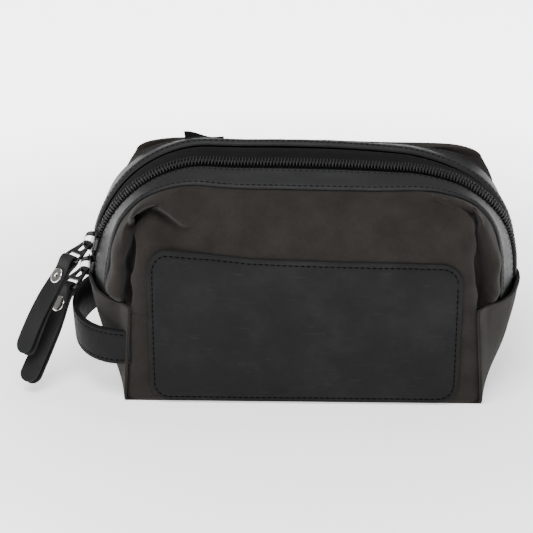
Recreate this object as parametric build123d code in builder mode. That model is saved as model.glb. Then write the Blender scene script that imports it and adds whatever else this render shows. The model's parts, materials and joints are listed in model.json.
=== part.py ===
"""Shaving kit bag: a boxed canvas wash bag with a leather-trimmed arch zip, two sliders and a side handle.

Millimetres. X runs along the bag towards its right end, Y runs towards its back and Z is up.
The origin is the middle of the base, on the surface that the bag stands on.
"""

import os
from math import asin, cos, degrees, radians, sin, sqrt, tan

from build123d import *

os.makedirs("parts", exist_ok=True)

# The zip's centre line is an arch in the plane y = 0: upright ends, round shoulders, a slightly crowned top.
ARCH_HALF = 124.5  # half the distance between the upright ends
ARCH_TOP = 132.5  # height of the crown's middle
SEAM_HEIGHT = 57.0  # the zip's ends, where the side seams cross the bag's ends
SHOULDER_R = 71.0
CROWN_R = 900.0
ZIP_TILT = 12.0  # the zip and its front band lean this far forwards, in degrees

# The boxed body.
FRONT_Y = -52.0
BACK_Y = 52.0
BASE_HALF = 105.0  # half length of the base at the front and back walls
BASE_BULGE = 107.0  # half length of the base between the walls
WALL_HALF = 98.0  # half length of the front and back walls at the side seams
FRONT_WALL_TOP = 118.0
BACK_WALL_TOP = 124.0
WALL_CORNER_R = 15.0
CANVAS = 1.6
LINING = 0.8
LAYER_GAP = 0.1

# Leather bands on both sides of the zip, measured across from the chain's middle.
BAND_T = 2.0
FRONT_BAND = (7.2, 31.0)
BACK_BAND_START = 12.6
BACK_BAND_RIDGE = 14.0
BACK_BAND_END = 35.0
BACK_BAND_DROP = -4.0  # the back band's outer edge lies this far outside the zip's centre line
THREAD_W = 0.6
THREAD_H = 0.45
THREAD_INSET = 2.6

# Zip tape and chain.
TAPE_T = 0.8
TAPE_TOP = 0.3
FRONT_TAPE_W = 14.0
BACK_TAPE_W = 13.4
CHAIN_SPLIT = 0.5  # half the running gap for the sliders' posts
COIL_W = 3.8
COIL_H = 2.8

# Sliders.
SLIDER_L = 13.0
SLIDER_HEAD_W = 12.0
SLIDER_TAIL_W = 10.6
SLIDER_PLATE_T = 1.2
SLIDER_TOP = 3.6  # underside of the top plate, above the tape's middle
SLIDER_BOTTOM = -1.15  # upper side of the bottom plate
SLIDER_RAIL_W = 0.9
POST_W = 0.6
POST_L = 3.5
BRIDGE_L = 10.6
BRIDGE_W = 1.8
BRIDGE_RISE = 5.8
BRIDGE_T = 1.3
UPPER_SLIDER_ANGLE = 16.0  # places on the left shoulder, in degrees above its centre
LOWER_SLIDER_ANGLE = 3.6
PIVOT_DOWN = 2.1  # a pull's eye hangs this far below the middle of its slider's bridge

# Pull tabs, straps and rivets.
TAB_T = 1.5
TAB_TOP_W = 7.8
TAB_FOOT_W = 16.0
TAB_REACH = 15.0  # from the eye's bar to the foot's bar
TAB_BAR = 2.0
EYE_W = 5.8
EYE_L = 6.4
SLOT_W = 12.8
SLOT_L = 4.4
STRAP_W = 12.0
STRAP_T = 1.6
STRAP_L = 60.0
STRAP_LOOP_R = 2.6  # centre line of the fold round the tab's bar
RIVET_DOWN = 12.0
RIVET_CAP_R = 5.0
RIVET_POST_R = 1.5
RIVET_HOLE_R = 0.9
RIVET_CAP_T = 1.0
TAB_BEND = 25.0  # the tab stands out from its strap, in degrees

# Handle.
HANDLE_OUT = -138.6
HANDLE_START = -103.9
HANDLE_SIDE = 52.4
HANDLE_CORNER_R = 34.0
HANDLE_W = 22.0
HANDLE_Z = 35.0
HANDLE_PIVOT_X = HANDLE_START - HANDLE_W / 2  # the strap's round ends turn about this line when it swings
HANDLE_OUTER_T = 1.6
HANDLE_INNER_T = 1.4

# Front patch and label.
PATCH_X = (-89.4, 90.6)
PATCH_Z = (1.0, 92.0)
PATCH_R = 12.0
PATCH_T = 1.6
LABEL_X = -60.0
LABEL_W = 22.0
LABEL_H = 11.0
LABEL_T = 0.5


def save(part, name):
    """Labels a finished piece and writes it to its own file."""
    part.label = name
    export_step(part, f"parts/{name}.step")


def arch_facts(half, corner_r, top, crown_r):
    """Height of an arch's shoulder centres and the angle of its crown's ends, in degrees."""
    reach = half - corner_r
    rise = sqrt((crown_r - corner_r) ** 2 - reach**2)
    return top - crown_r + rise, degrees(asin(reach / (crown_r - corner_r)))


ARCH_CENTRE_Z, CROWN_HALF_ANGLE = arch_facts(ARCH_HALF, SHOULDER_R, ARCH_TOP, CROWN_R)


def arch_lines(half, corner_r, top, crown_r, low):
    """Draws an arch from its left foot to its right foot into the open line builder."""
    centre_z, crown_end = arch_facts(half, corner_r, top, crown_r)
    left = Line((-half, low), (-half, centre_z))
    left_corner = JernArc(left @ 1, left % 1, corner_r, crown_end - 90)
    crown = JernArc(left_corner @ 1, left_corner % 1, crown_r, -2 * crown_end)
    right_corner = JernArc(crown @ 1, crown % 1, corner_r, crown_end - 90)
    Line(right_corner @ 1, (half, low))


with BuildLine(Plane.XZ) as zip_path:
    arch_lines(ARCH_HALF, SHOULDER_R, ARCH_TOP, CROWN_R, SEAM_HEIGHT)

# Sections across the zip: local x runs to the back and local y runs outwards.
SECTION = Plane(origin=(-ARCH_HALF, 0, SEAM_HEIGHT), x_dir=(0, 1, 0), z_dir=(0, 0, 1))
ZIP_SECTION = SECTION.rotated((0, 0, ZIP_TILT))


def swept_strips(boxes):
    """Sweeps rectangles, each (across low, across high, out low, out high), along the zip's arch."""
    with BuildPart() as strips:
        for across_low, across_high, out_low, out_high in boxes:
            with BuildSketch(ZIP_SECTION):
                with Locations(((across_low + across_high) / 2, (out_low + out_high) / 2)):
                    Rectangle(across_high - across_low, out_high - out_low)
            sweep(path=zip_path.wire())
    return strips.part


# ---------------------------------------------------------------- zip tape and chain
def make_zip():
    """Both tapes, each with its half of the coil chain along its inner edge."""
    tape = (TAPE_TOP - TAPE_T, TAPE_TOP)
    coil = (TAPE_TOP, TAPE_TOP + COIL_H)
    coil_edge = CHAIN_SPLIT + COIL_W
    save(swept_strips([(-FRONT_TAPE_W, -CHAIN_SPLIT, *tape)]), "front_zip_tape")
    save(swept_strips([(CHAIN_SPLIT, BACK_TAPE_W, *tape)]), "back_zip_tape")
    save(swept_strips([(-coil_edge, -CHAIN_SPLIT, *coil)]), "front_zip_coil")
    save(swept_strips([(CHAIN_SPLIT, coil_edge, *coil)]), "back_zip_coil")


# ---------------------------------------------------------------- leather bands
def back_band_line(lift):
    """Corner points of the back band's lower or upper face, lift above its underside."""
    slope = radians(ZIP_TILT)
    on_tape = TAPE_TOP / cos(slope) + 0.03
    start = (BACK_BAND_START - lift * sin(slope), BACK_BAND_START * tan(slope) + on_tape + lift * cos(slope))
    ridge = (BACK_BAND_RIDGE, BACK_BAND_RIDGE * tan(slope) + on_tape + lift)
    end = (BACK_BAND_END + 0.3 * lift, BACK_BAND_DROP + 0.95 * lift)
    return [start, ridge, end]


def back_thread(inset_share):
    """Section of one thread row on the back band, at a share of the way from its ridge to its edge."""
    (ridge_y, ridge_out), (end_y, end_out) = back_band_line(BAND_T)[1:]
    y = ridge_y + inset_share * (end_y - ridge_y)
    out = ridge_out + inset_share * (end_out - ridge_out)
    tilt = degrees(asin((end_out - ridge_out) / sqrt((end_out - ridge_out) ** 2 + (end_y - ridge_y) ** 2)))
    with BuildPart() as row:
        with BuildSketch(SECTION):
            with Locations(Location((y, out, 0), (0, 0, tilt))):
                with Locations((0, THREAD_H / 2 + 0.02)):
                    Rectangle(THREAD_W, THREAD_H)
        sweep(path=zip_path.wire())
    return row.part


def make_bands():
    """The two leather bands and the thread rows that hold them."""
    inner, outer = FRONT_BAND
    top = TAPE_TOP + BAND_T
    save(swept_strips([(-outer, -inner, TAPE_TOP, top)]), "front_band")
    rows = [inner + THREAD_INSET, outer - THREAD_INSET]
    save(swept_strips([(-row - THREAD_W / 2, -row + THREAD_W / 2, top, top + THREAD_H) for row in rows]),
         "front_band_thread")
    with BuildPart() as back_band:
        with BuildSketch(SECTION):
            Polygon(*back_band_line(0), *reversed(back_band_line(BAND_T)), align=None)
        sweep(path=zip_path.wire())
    save(back_band.part, "back_band")
    save(Compound([back_thread(0.1), back_thread(0.87)]), "back_band_thread")


# ---------------------------------------------------------------- canvas and lining panels
def arch_solid(sign, seam_y, seam_half, inset, low):
    """The space behind a front or back wall, from the wall's plane to the arch seam, inset all round."""
    wall_y = sign * (abs(FRONT_Y) - inset)
    drop = ARCH_HALF - seam_half
    with BuildPart() as space:
        with BuildSketch(Plane.XZ.offset(-wall_y)):
            with BuildLine():
                wall_top = FRONT_WALL_TOP if sign < 0 else BACK_WALL_TOP
                arch_lines(WALL_HALF - inset, WALL_CORNER_R - inset, wall_top - inset, CROWN_R, low)
                Line((WALL_HALF - inset, low), (-WALL_HALF + inset, low))
            make_face()
        with BuildSketch(Plane.XZ.offset(-seam_y)):
            with BuildLine():
                half = seam_half - inset
                arch_lines(half, SHOULDER_R - drop - inset, ARCH_TOP - drop - inset, CROWN_R - drop - inset, low)
                Line((half, low), (-half, low))
            make_face()
        loft(ruled=True)
    return space.part


def wall_panel(sign, seam_y, seam_half, outer, inner):
    """A front or back wall with its shoulders: the layer from outer to inner insets."""
    with BuildPart() as panel:
        add(arch_solid(sign, seam_y, seam_half, outer, SEAM_HEIGHT))
        add(arch_solid(sign, seam_y, seam_half, inner, SEAM_HEIGHT - 1), mode=Mode.SUBTRACT)
        with BuildSketch(Plane.XZ.offset(-sign * (abs(FRONT_Y) - outer))):
            low_half = BASE_HALF - outer - (BASE_HALF - WALL_HALF) * outer / SEAM_HEIGHT
            Polygon((-low_half, outer), (low_half, outer), (WALL_HALF - outer, SEAM_HEIGHT),
                    (-WALL_HALF + outer, SEAM_HEIGHT), align=None)
        extrude(amount=sign * (inner - outer))
    return panel.part


FRONT_SEAM_Y = -31.2
FRONT_SEAM_HALF = ARCH_HALF - FRONT_BAND[1] * sin(radians(ZIP_TILT)) + TAPE_TOP
BACK_SEAM_Y = 36.2
BACK_SEAM_HALF = ARCH_HALF + BACK_BAND_DROP


def end_outline(inset, low):
    """Corners of a level cut through the lower body, at the base or at the side seams."""
    if low:
        corners = [(BASE_HALF, FRONT_Y), (BASE_BULGE, FRONT_SEAM_Y), (BASE_BULGE, -8),
                   (BASE_BULGE, 8), (BASE_BULGE, BACK_SEAM_Y), (BASE_HALF, BACK_Y)]
    else:
        corners = [(WALL_HALF, FRONT_Y), (FRONT_SEAM_HALF, FRONT_SEAM_Y), (ARCH_HALF - 0.8, -8),
                   (ARCH_HALF + 0.6, 8), (BACK_SEAM_HALF, BACK_SEAM_Y), (WALL_HALF, BACK_Y)]
    right = [(x - inset, y * (1 - inset / BACK_Y)) for x, y in corners]
    return right + [(-x, y) for x, y in reversed(right)]


def lower_space(inset):
    """The space inside the lower body, from the base up to the side seams."""
    with BuildPart() as space:
        with BuildSketch(Plane.XY):
            Polygon(*end_outline(inset, low=True), align=None)
        with BuildSketch(Plane.XY.offset(SEAM_HEIGHT)):
            Polygon(*end_outline(inset, low=False), align=None)
        loft(ruled=True)
    return space.part


def end_panel(side, outer, inner):
    """One lower end of the bag, between the front and back walls: the layer from outer to inner insets."""
    depth = 2 * (BACK_Y - inner)
    with BuildPart() as panel:
        add(lower_space(outer))
        add(lower_space(inner), mode=Mode.SUBTRACT)
        with BuildSketch(Plane.XY.offset(outer)):
            with Locations((side * ARCH_HALF, 0)):
                Rectangle(ARCH_HALF, depth)
        extrude(amount=SEAM_HEIGHT, mode=Mode.INTERSECT)
    return panel.part


def base_plate(outer, inner):
    """The bag's floor inside its walls: the layer from outer to inner insets."""
    with BuildPart() as plate:
        with BuildSketch(Plane.XY.offset(outer)):
            Polygon(*end_outline(inner + 0.3, low=True), align=None)
        extrude(amount=inner - outer)
    return plate.part


def make_panels():
    """The canvas body, and the same panels again as the lining inside it."""
    lining_out = CANVAS + LAYER_GAP
    for prefix, outer, inner in (("", 0, CANVAS), ("lining_", lining_out, lining_out + LINING)):
        save(wall_panel(-1, FRONT_SEAM_Y, FRONT_SEAM_HALF, outer, inner), prefix + "front_panel")
        save(wall_panel(1, BACK_SEAM_Y, BACK_SEAM_HALF, outer, inner), prefix + "back_panel")
        save(end_panel(-1, outer, inner), prefix + "left_end_panel")
        save(end_panel(1, outer, inner), prefix + "right_end_panel")
        save(base_plate(outer, inner), prefix + "base_panel")


# ---------------------------------------------------------------- front patch and its stitching
def make_patch():
    """The leather patch on the front wall, and the ring of thread round its edge."""
    middle = ((PATCH_X[0] + PATCH_X[1]) / 2, (PATCH_Z[0] + PATCH_Z[1]) / 2)
    size = (PATCH_X[1] - PATCH_X[0], PATCH_Z[1] - PATCH_Z[0])
    with BuildPart() as patch:
        with BuildSketch(Plane.XZ.offset(-FRONT_Y)):
            with Locations(middle):
                RectangleRounded(*size, PATCH_R)
        extrude(amount=PATCH_T)
        fillet(patch.faces().sort_by(Axis.Y)[0].edges(), 0.5)
    save(patch.part, "front_patch")
    with BuildPart() as thread:
        with BuildSketch(Plane.XZ.offset(-FRONT_Y + PATCH_T)):
            for inset, mode in ((THREAD_INSET, Mode.ADD), (THREAD_INSET + THREAD_W, Mode.SUBTRACT)):
                with Locations(middle):
                    RectangleRounded(size[0] - 2 * inset, size[1] - 2 * inset, PATCH_R - inset, mode=mode)
        extrude(amount=THREAD_H)
    save(thread.part, "front_patch_thread")


# ---------------------------------------------------------------- label in the back seam
def make_label():
    """A plain woven tape, folded over and held in the back arch seam."""
    slope = degrees(asin(-LABEL_X / CROWN_R))
    foot_z = ARCH_TOP + BACK_BAND_DROP - LABEL_X**2 / (2 * CROWN_R) + 1.0
    side = Plane(origin=(LABEL_X, BACK_SEAM_Y + 1.0, foot_z), x_dir=(0, 1, 0), z_dir=(cos(radians(slope)), 0,
                 sin(radians(slope))))
    with BuildPart() as label:
        with BuildSketch(side):
            with Locations((0, LABEL_H / 2)):
                RectangleRounded(3 * LABEL_T, LABEL_H, 1.2 * LABEL_T)
                with Locations((0, -LABEL_T)):
                    Rectangle(0.6 * LABEL_T, LABEL_H - LABEL_T, mode=Mode.SUBTRACT)
        extrude(amount=LABEL_W / 2, both=True)
    save(label.part, "label_tab")


# ---------------------------------------------------------------- handle
def handle_layer(outer, inner):
    """One layer of the handle's strap, between two insets from its outer face."""
    with BuildPart() as layer:
        with BuildSketch(Plane.XY.offset(HANDLE_Z - HANDLE_W / 2)):
            for inset, mode in ((outer, Mode.ADD), (inner, Mode.SUBTRACT)):
                side = HANDLE_SIDE - inset
                out = HANDLE_OUT + inset
                corner = HANDLE_CORNER_R - inset
                with BuildLine():
                    near = Line((HANDLE_START, -side), (out + corner, -side))
                    arc = JernArc(near @ 1, (-1, 0), corner, -90)
                    far = Line(arc @ 1, (out, side - corner))
                    back = JernArc(far @ 1, (0, 1), corner, -90)
                    leg = Line(back @ 1, (HANDLE_START, side))
                    Line(leg @ 1, near @ 0)
                make_face(mode=mode)
        extrude(amount=HANDLE_W)
        with BuildSketch(Plane.XZ):
            with Locations((HANDLE_PIVOT_X, HANDLE_Z)):
                Circle(HANDLE_W / 2)
                with Locations((-HANDLE_W, 0)):
                    Rectangle(2 * HANDLE_W, HANDLE_W)
        extrude(amount=2 * HANDLE_SIDE, both=True, mode=Mode.INTERSECT)
    return layer.part


def make_handle():
    """The handle's two leather layers and the thread rows along their edges."""
    save(handle_layer(0, HANDLE_OUTER_T), "handle_outer_strap")
    save(handle_layer(HANDLE_OUTER_T, HANDLE_OUTER_T + HANDLE_INNER_T), "handle_inner_strap")
    rows = []
    for z in (HANDLE_Z - HANDLE_W / 2 + THREAD_INSET, HANDLE_Z + HANDLE_W / 2 - THREAD_INSET):
        with BuildPart() as row:
            add(handle_layer(-THREAD_H, 0))
            with BuildSketch(Plane.XY.offset(z - THREAD_W / 2)):
                Rectangle(4 * ARCH_HALF, 4 * ARCH_HALF)
            extrude(amount=THREAD_W, mode=Mode.INTERSECT)
        rows.append(row.part)
    save(Compound(rows), "handle_thread")


# ---------------------------------------------------------------- sliders
def slider_planes(origin, tangent, outward):
    """A slider's side plane (x along the zip, y out of the bag) and its level plane (x along, y across)."""
    tilt = radians(ZIP_TILT)
    out = outward * cos(tilt) - Vector(0, 1, 0) * sin(tilt)
    along = Vector(*tangent)
    return Plane(origin=origin, x_dir=along, z_dir=along.cross(out)), Plane(origin=origin, x_dir=along, z_dir=out)


def slider_body(side_plane, level_plane, head):
    """One cast slider: two plates, side rails, the post between them and the bridge for the pull.

    head is +1 where the wide end points up the zip and -1 where it points down."""
    half = SLIDER_L / 2
    with BuildPart() as slider:
        for low, high in ((SLIDER_BOTTOM - SLIDER_PLATE_T, SLIDER_BOTTOM), (SLIDER_TOP, SLIDER_TOP + SLIDER_PLATE_T)):
            with BuildSketch(level_plane.offset(low)):
                Polygon((-head * half, -SLIDER_TAIL_W / 2), (head * half * 0.2, -SLIDER_TAIL_W / 2),
                        (head * half, -SLIDER_HEAD_W / 2 + 1.4), (head * half, SLIDER_HEAD_W / 2 - 1.4),
                        (head * half * 0.2, SLIDER_TAIL_W / 2), (-head * half, SLIDER_TAIL_W / 2), align=None)
                with Locations((head * half * 0.45, 0)):
                    Rectangle(half * 0.9, SLIDER_HEAD_W)
            extrude(amount=high - low)
        with BuildSketch(level_plane.offset(SLIDER_TOP - 2.3)):
            with Locations((0, SLIDER_HEAD_W / 2 - SLIDER_RAIL_W / 2), (0, -SLIDER_HEAD_W / 2 + SLIDER_RAIL_W / 2)):
                Rectangle(SLIDER_L * 0.62, SLIDER_RAIL_W)
        extrude(amount=2.3)
        with BuildSketch(level_plane.offset(SLIDER_BOTTOM)):
            with Locations((head * (half - POST_L / 2), 0)):
                Rectangle(POST_L, POST_W)
        extrude(amount=SLIDER_TOP - SLIDER_BOTTOM)
        with BuildSketch(side_plane):
            with Locations((0, SLIDER_TOP + SLIDER_PLATE_T + BRIDGE_RISE / 2 - 0.2)):
                RectangleRounded(BRIDGE_L, BRIDGE_RISE + 0.4, 2.1)
                with Locations((0, -BRIDGE_T / 2)):
                    RectangleRounded(BRIDGE_L - 2 * BRIDGE_T, BRIDGE_RISE + 0.4 - BRIDGE_T, 1.2, mode=Mode.SUBTRACT)
        extrude(amount=BRIDGE_W / 2, both=True)
    return slider.part


# ---------------------------------------------------------------- pulls
def pull_tab(tab_plane):
    """The metal tab: an eye for the slider's bridge at its top and a slot for the strap at its foot."""
    foot = TAB_REACH + TAB_BAR / 2
    with BuildPart() as tab:
        with BuildSketch(tab_plane.offset(-TAB_T / 2)):
            with BuildLine():
                Polyline((-TAB_TOP_W / 2, -TAB_BAR / 2), (TAB_TOP_W / 2, -TAB_BAR / 2), (TAB_TOP_W / 2, 3),
                         (TAB_FOOT_W / 2, TAB_REACH - 4), (TAB_FOOT_W / 2, foot), (-TAB_FOOT_W / 2, foot),
                         (-TAB_FOOT_W / 2, TAB_REACH - 4), (-TAB_TOP_W / 2, 3), close=True)
            make_face()
            fillet(vertices(), 1.7)
            with Locations((0, TAB_BAR / 2 + EYE_L / 2)):
                RectangleRounded(EYE_W, EYE_L, 2.0, mode=Mode.SUBTRACT)
            with Locations((0, TAB_REACH - TAB_BAR / 2 - SLOT_L / 2)):
                RectangleRounded(SLOT_W, SLOT_L, 1.6, mode=Mode.SUBTRACT)
        extrude(amount=TAB_T)
    return tab.part


def strap_outline():
    """Centre line of a folded strap seen from its side: x down the strap and y out from the bag."""
    pinch = STRAP_T / 2 + 0.05
    tip_spread = 2.2
    with BuildLine() as line:
        Polyline((STRAP_L, tip_spread), (STRAP_L / 2, pinch + 0.5), (RIVET_DOWN + 6, pinch), (RIVET_DOWN - 5.5, pinch),
                 (0, STRAP_LOOP_R))
        ThreePointArc((0, STRAP_LOOP_R), (-STRAP_LOOP_R, 0), (0, -STRAP_LOOP_R))
        Polyline((0, -STRAP_LOOP_R), (RIVET_DOWN - 5.5, -pinch), (RIVET_DOWN + 6, -pinch),
                 (STRAP_L / 2, -pinch - 0.5), (STRAP_L, -tip_spread))
    return line


def pull_strap(strap_plane):
    """The leather strap, folded over the tab's foot and riveted to itself, with two loose tails."""
    side = Plane(origin=strap_plane.origin, x_dir=strap_plane.y_dir, z_dir=-strap_plane.x_dir)
    outline = strap_outline()
    with BuildPart() as strap:
        with BuildSketch(side):
            trace(outline.edges(), line_width=STRAP_T)
        extrude(amount=STRAP_W / 2, both=True)
        with BuildSketch(strap_plane.offset(-12)):
            with Locations((0, STRAP_L / 2 - 3)):
                RectangleRounded(STRAP_W, STRAP_L + 6, STRAP_W / 2 - 0.05)
            with Locations((0, 0)):
                Rectangle(STRAP_W, 12)
        extrude(amount=24, mode=Mode.INTERSECT)
        with BuildSketch(strap_plane.offset(-12)):
            with Locations((0, RIVET_DOWN)):
                Circle(RIVET_POST_R)
        extrude(amount=24, mode=Mode.SUBTRACT)
    return strap.part


def rivet(strap_plane, cap_side):
    """A tubular rivet's domed cap and its flanged post. cap_side is +1 where the cap faces out."""
    face = STRAP_T + 0.05
    axis = Plane(origin=strap_plane.from_local_coords((0, RIVET_DOWN, 0)), x_dir=strap_plane.x_dir,
                 z_dir=strap_plane.z_dir * cap_side)
    with BuildPart() as cap:
        with BuildSketch(axis.offset(face)):
            Circle(RIVET_CAP_R)
        extrude(amount=RIVET_CAP_T)
        fillet(cap.faces().sort_by(Axis(axis.origin, axis.z_dir))[-1].edges(), 0.8)
    with BuildPart() as post:
        with BuildSketch(axis.offset(-face - RIVET_CAP_T)):
            Circle(RIVET_CAP_R - 0.2)
        extrude(amount=RIVET_CAP_T)
        with BuildSketch(axis.offset(-face)):
            Circle(RIVET_POST_R)
        extrude(amount=2 * face)
        with BuildSketch(axis.offset(-face - RIVET_CAP_T)):
            Circle(RIVET_HOLE_R)
        extrude(amount=face + RIVET_CAP_T, mode=Mode.SUBTRACT)
    return cap.part, post.part


def make_pull(prefix, side_plane, down, normal, cap_side):
    """A slider's tab, strap and rivet. down points along the strap and normal faces out of it, roughly."""
    pivot = side_plane.from_local_coords((-PIVOT_DOWN, SLIDER_TOP + SLIDER_PLATE_T + (BRIDGE_RISE - BRIDGE_T) / 2))
    down = Vector(*down).normalized()
    width = down.cross(Vector(*normal)).normalized()
    normal = width.cross(down)
    tab_normal = normal.rotate(Axis((0, 0, 0), width), TAB_BEND)
    tab_plane = Plane(origin=pivot, x_dir=width, z_dir=tab_normal)
    bar = tab_plane.from_local_coords((0, TAB_REACH, 0))
    strap_plane = Plane(origin=bar, x_dir=width, z_dir=normal)
    save(pull_tab(tab_plane), prefix + "_pull_tab")
    save(pull_strap(strap_plane), prefix + "_pull_strap")
    cap, post = rivet(strap_plane, cap_side)
    save(cap, prefix + "_rivet_cap")
    save(post, prefix + "_rivet_post")
    print(prefix, "tab hinge at", pivot, "strap hinge at", bar, "both about", width)


def make_slider(prefix, angle_degrees, head, down, normal, cap_side):
    """One slider with its pull, at an angle on the left shoulder above the shoulder's centre."""
    angle = radians(angle_degrees)
    outward = Vector(-cos(angle), 0, sin(angle))
    place = Vector(SHOULDER_R - ARCH_HALF, 0, ARCH_CENTRE_Z) + outward * SHOULDER_R
    side_plane, level_plane = slider_planes(place, (sin(angle), 0, cos(angle)), outward)
    save(slider_body(side_plane, level_plane, head), prefix + "_slider")
    make_pull(prefix, side_plane, down, normal, cap_side)


make_zip()
make_bands()
make_panels()
make_patch()
make_label()
make_handle()
make_slider("upper", UPPER_SLIDER_ANGLE, -1, (-0.42, -0.45, -0.79), (-0.69, -0.41, 0.60), -1)
make_slider("lower", LOWER_SLIDER_ANGLE, 1, (-0.36, -0.50, -0.79), (-0.71, -0.41, 0.58), 1)
print("shoulder centre height", ARCH_CENTRE_Z, "shoulder sweep in degrees", 90 - CROWN_HALF_ANGLE)
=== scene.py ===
"""Shaving kit bag: the visual model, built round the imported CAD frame. Lengths below are millimetres unless said."""

import json
import math

import bmesh
import bpy
import numpy as np
from mathutils import Matrix, Vector, noise


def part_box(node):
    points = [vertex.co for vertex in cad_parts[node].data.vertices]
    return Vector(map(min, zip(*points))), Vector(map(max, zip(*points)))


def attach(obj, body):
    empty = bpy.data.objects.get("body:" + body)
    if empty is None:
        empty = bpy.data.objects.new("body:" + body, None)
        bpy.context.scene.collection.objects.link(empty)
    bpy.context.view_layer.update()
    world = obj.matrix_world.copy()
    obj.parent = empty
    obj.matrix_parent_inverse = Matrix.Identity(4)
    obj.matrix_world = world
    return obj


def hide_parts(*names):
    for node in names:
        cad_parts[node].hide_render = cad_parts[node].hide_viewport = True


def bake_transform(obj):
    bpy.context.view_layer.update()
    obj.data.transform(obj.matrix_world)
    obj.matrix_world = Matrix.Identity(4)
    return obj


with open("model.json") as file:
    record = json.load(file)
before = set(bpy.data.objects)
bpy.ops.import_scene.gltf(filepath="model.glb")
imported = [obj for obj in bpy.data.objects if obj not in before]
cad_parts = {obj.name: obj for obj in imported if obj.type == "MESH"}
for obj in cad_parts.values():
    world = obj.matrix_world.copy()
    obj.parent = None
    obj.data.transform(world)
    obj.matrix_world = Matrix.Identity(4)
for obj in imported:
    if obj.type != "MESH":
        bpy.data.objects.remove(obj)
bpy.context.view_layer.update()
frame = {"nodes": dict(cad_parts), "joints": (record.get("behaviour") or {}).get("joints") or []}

MM = 0.001

# ------------------------------------------------------------------ driving dimensions, as in the CAD
HALF, TOP, SEAM_Z, SHOULDER, CROWN = 124.5, 132.5, 57.0, 71.0, 900.0
TILT = math.radians(12.0)
REACH = HALF - SHOULDER
CENTRE_Z = TOP - CROWN + math.sqrt((CROWN - SHOULDER) ** 2 - REACH**2)
CROWN_END = math.asin(REACH / (CROWN - SHOULDER))
LEN_END = CENTRE_Z - SEAM_Z
LEN_SHOULDER = SHOULDER * (math.pi / 2 - CROWN_END)
LENGTH = 2 * (LEN_END + LEN_SHOULDER + CROWN * CROWN_END)
FRONT_BAND = (-31.0, -7.2)  # across the chain, from the band's outer edge to its inner one
FRONT_WIDTH = FRONT_BAND[1] - FRONT_BAND[0]
BACK_EDGE, BACK_WIDTH = 12.4, 23.2
STITCH_INSET, STITCH_PITCH = 2.6, 3.3
HANDLE_Z, HANDLE_W, HANDLE_SEAM = 35.0, 22.0, -100.2
STRAP_LENGTH, RIVET_DOWN = 62.0, 12.0
BASE_LENGTH, BASE_DEPTH = 105.2, 51.4  # half of the base, at its edges
CAD_LOW = {name: [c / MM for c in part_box(name)[0]] for name in frame["nodes"]}
CAD_HIGH = {name: [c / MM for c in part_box(name)[1]] for name in frame["nodes"]}


def ease(t):
    """A smooth step from 0 to 1."""
    t = np.clip(t, 0, 1)
    return t * t * (3 - 2 * t)


def wobble(x, y, z, size, seed=0.0):
    """Smooth noise from about -1 to 1, for arrays of points."""
    pts = np.stack(np.broadcast_arrays(x, y, z), -1).reshape(-1, 3) / size
    out = np.array([noise.noise((p[0] + seed, p[1] - seed, p[2] + 2 * seed)) for p in pts])
    return out.reshape(np.broadcast(x, y, z).shape)


def run_length(line):
    """The distance along a line of points, at each of them."""
    return np.concatenate([[0], np.cumsum(np.linalg.norm(np.diff(line, axis=0), axis=1))])


def resample(line, run, at):
    """Points of a line at given distances along it."""
    return np.stack([np.interp(at, run, line[:, k]) for k in range(line.shape[1])], -1)


def relax(line, rounds):
    """Rounds off a line's corners in place, and keeps its ends."""
    for _ in range(rounds):
        line[1:-1] = 0.25 * line[:-2] + 0.5 * line[1:-1] + 0.25 * line[2:]
    return line


def unit_rows(vectors):
    return vectors / np.linalg.norm(vectors, axis=1)[:, None]


# ------------------------------------------------------------------ mesh helpers
def make_object(name, verts, faces, uvs=None):
    """A smooth-shaded mesh object from points and UVs in millimetres."""
    mesh = bpy.data.meshes.new(name)
    mesh.from_pydata([tuple(v) for v in np.asarray(verts, float) * MM], [], faces)
    mesh.update()
    if uvs is not None:
        layer = mesh.uv_layers.new(name="UVMap")
        index = np.zeros(len(mesh.loops), int)
        mesh.loops.foreach_get("vertex_index", index)
        layer.data.foreach_set("uv", (np.asarray(uvs, float)[index] * MM).ravel())
    mesh.polygons.foreach_set("use_smooth", [True] * len(mesh.polygons))
    obj = bpy.data.objects.new(name, mesh)
    bpy.context.scene.collection.objects.link(obj)
    return obj


def grid_faces(nu, nv, wrap_u=False, wrap_v=False, start=0, flip=False):
    """Quads between the points of a grid that are numbered row by row from start."""
    faces = []
    for i in range(nu if wrap_u else nu - 1):
        for j in range(nv if wrap_v else nv - 1):
            a, b = i * nv + j, ((i + 1) % nu) * nv + j
            c, d = ((i + 1) % nu) * nv + (j + 1) % nv, i * nv + (j + 1) % nv
            quad = (a, b, c, d) if not flip else (a, d, c, b)
            faces.append(tuple(start + k for k in quad))
    return faces


def end_caps(rings, around):
    """Faces that close both ends of a tube."""
    return [tuple(range(around)), tuple(reversed(range((rings - 1) * around, rings * around)))]


def grid_object(name, points, uv=None, wrap_v=False, caps=False):
    """points is (nu, nv, 3). caps closes both ends of a tube that wraps in v."""
    nu, nv = points.shape[:2]
    faces = grid_faces(nu, nv, wrap_v=wrap_v)
    if caps:
        faces += end_caps(nu, nv)
    uvs = None if uv is None else uv.reshape(-1, 2)
    return make_object(name, points.reshape(-1, 3), faces, uvs)


def joined(name, parts):
    """One object from many (verts, faces) lists."""
    verts, faces, start = [], [], 0
    for v, f in parts:
        verts.append(np.asarray(v, float))
        faces += [tuple(k + start for k in face) for face in f]
        start += len(v)
    return make_object(name, np.concatenate(verts), faces)


def weld(obj, distance):
    """Joins points closer than distance and turns all faces the same way."""
    bm = bmesh.new()
    bm.from_mesh(obj.data)
    bmesh.ops.remove_doubles(bm, verts=bm.verts, dist=distance * MM)
    bmesh.ops.recalc_face_normals(bm, faces=bm.faces)
    bm.to_mesh(obj.data)
    bm.free()


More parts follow.
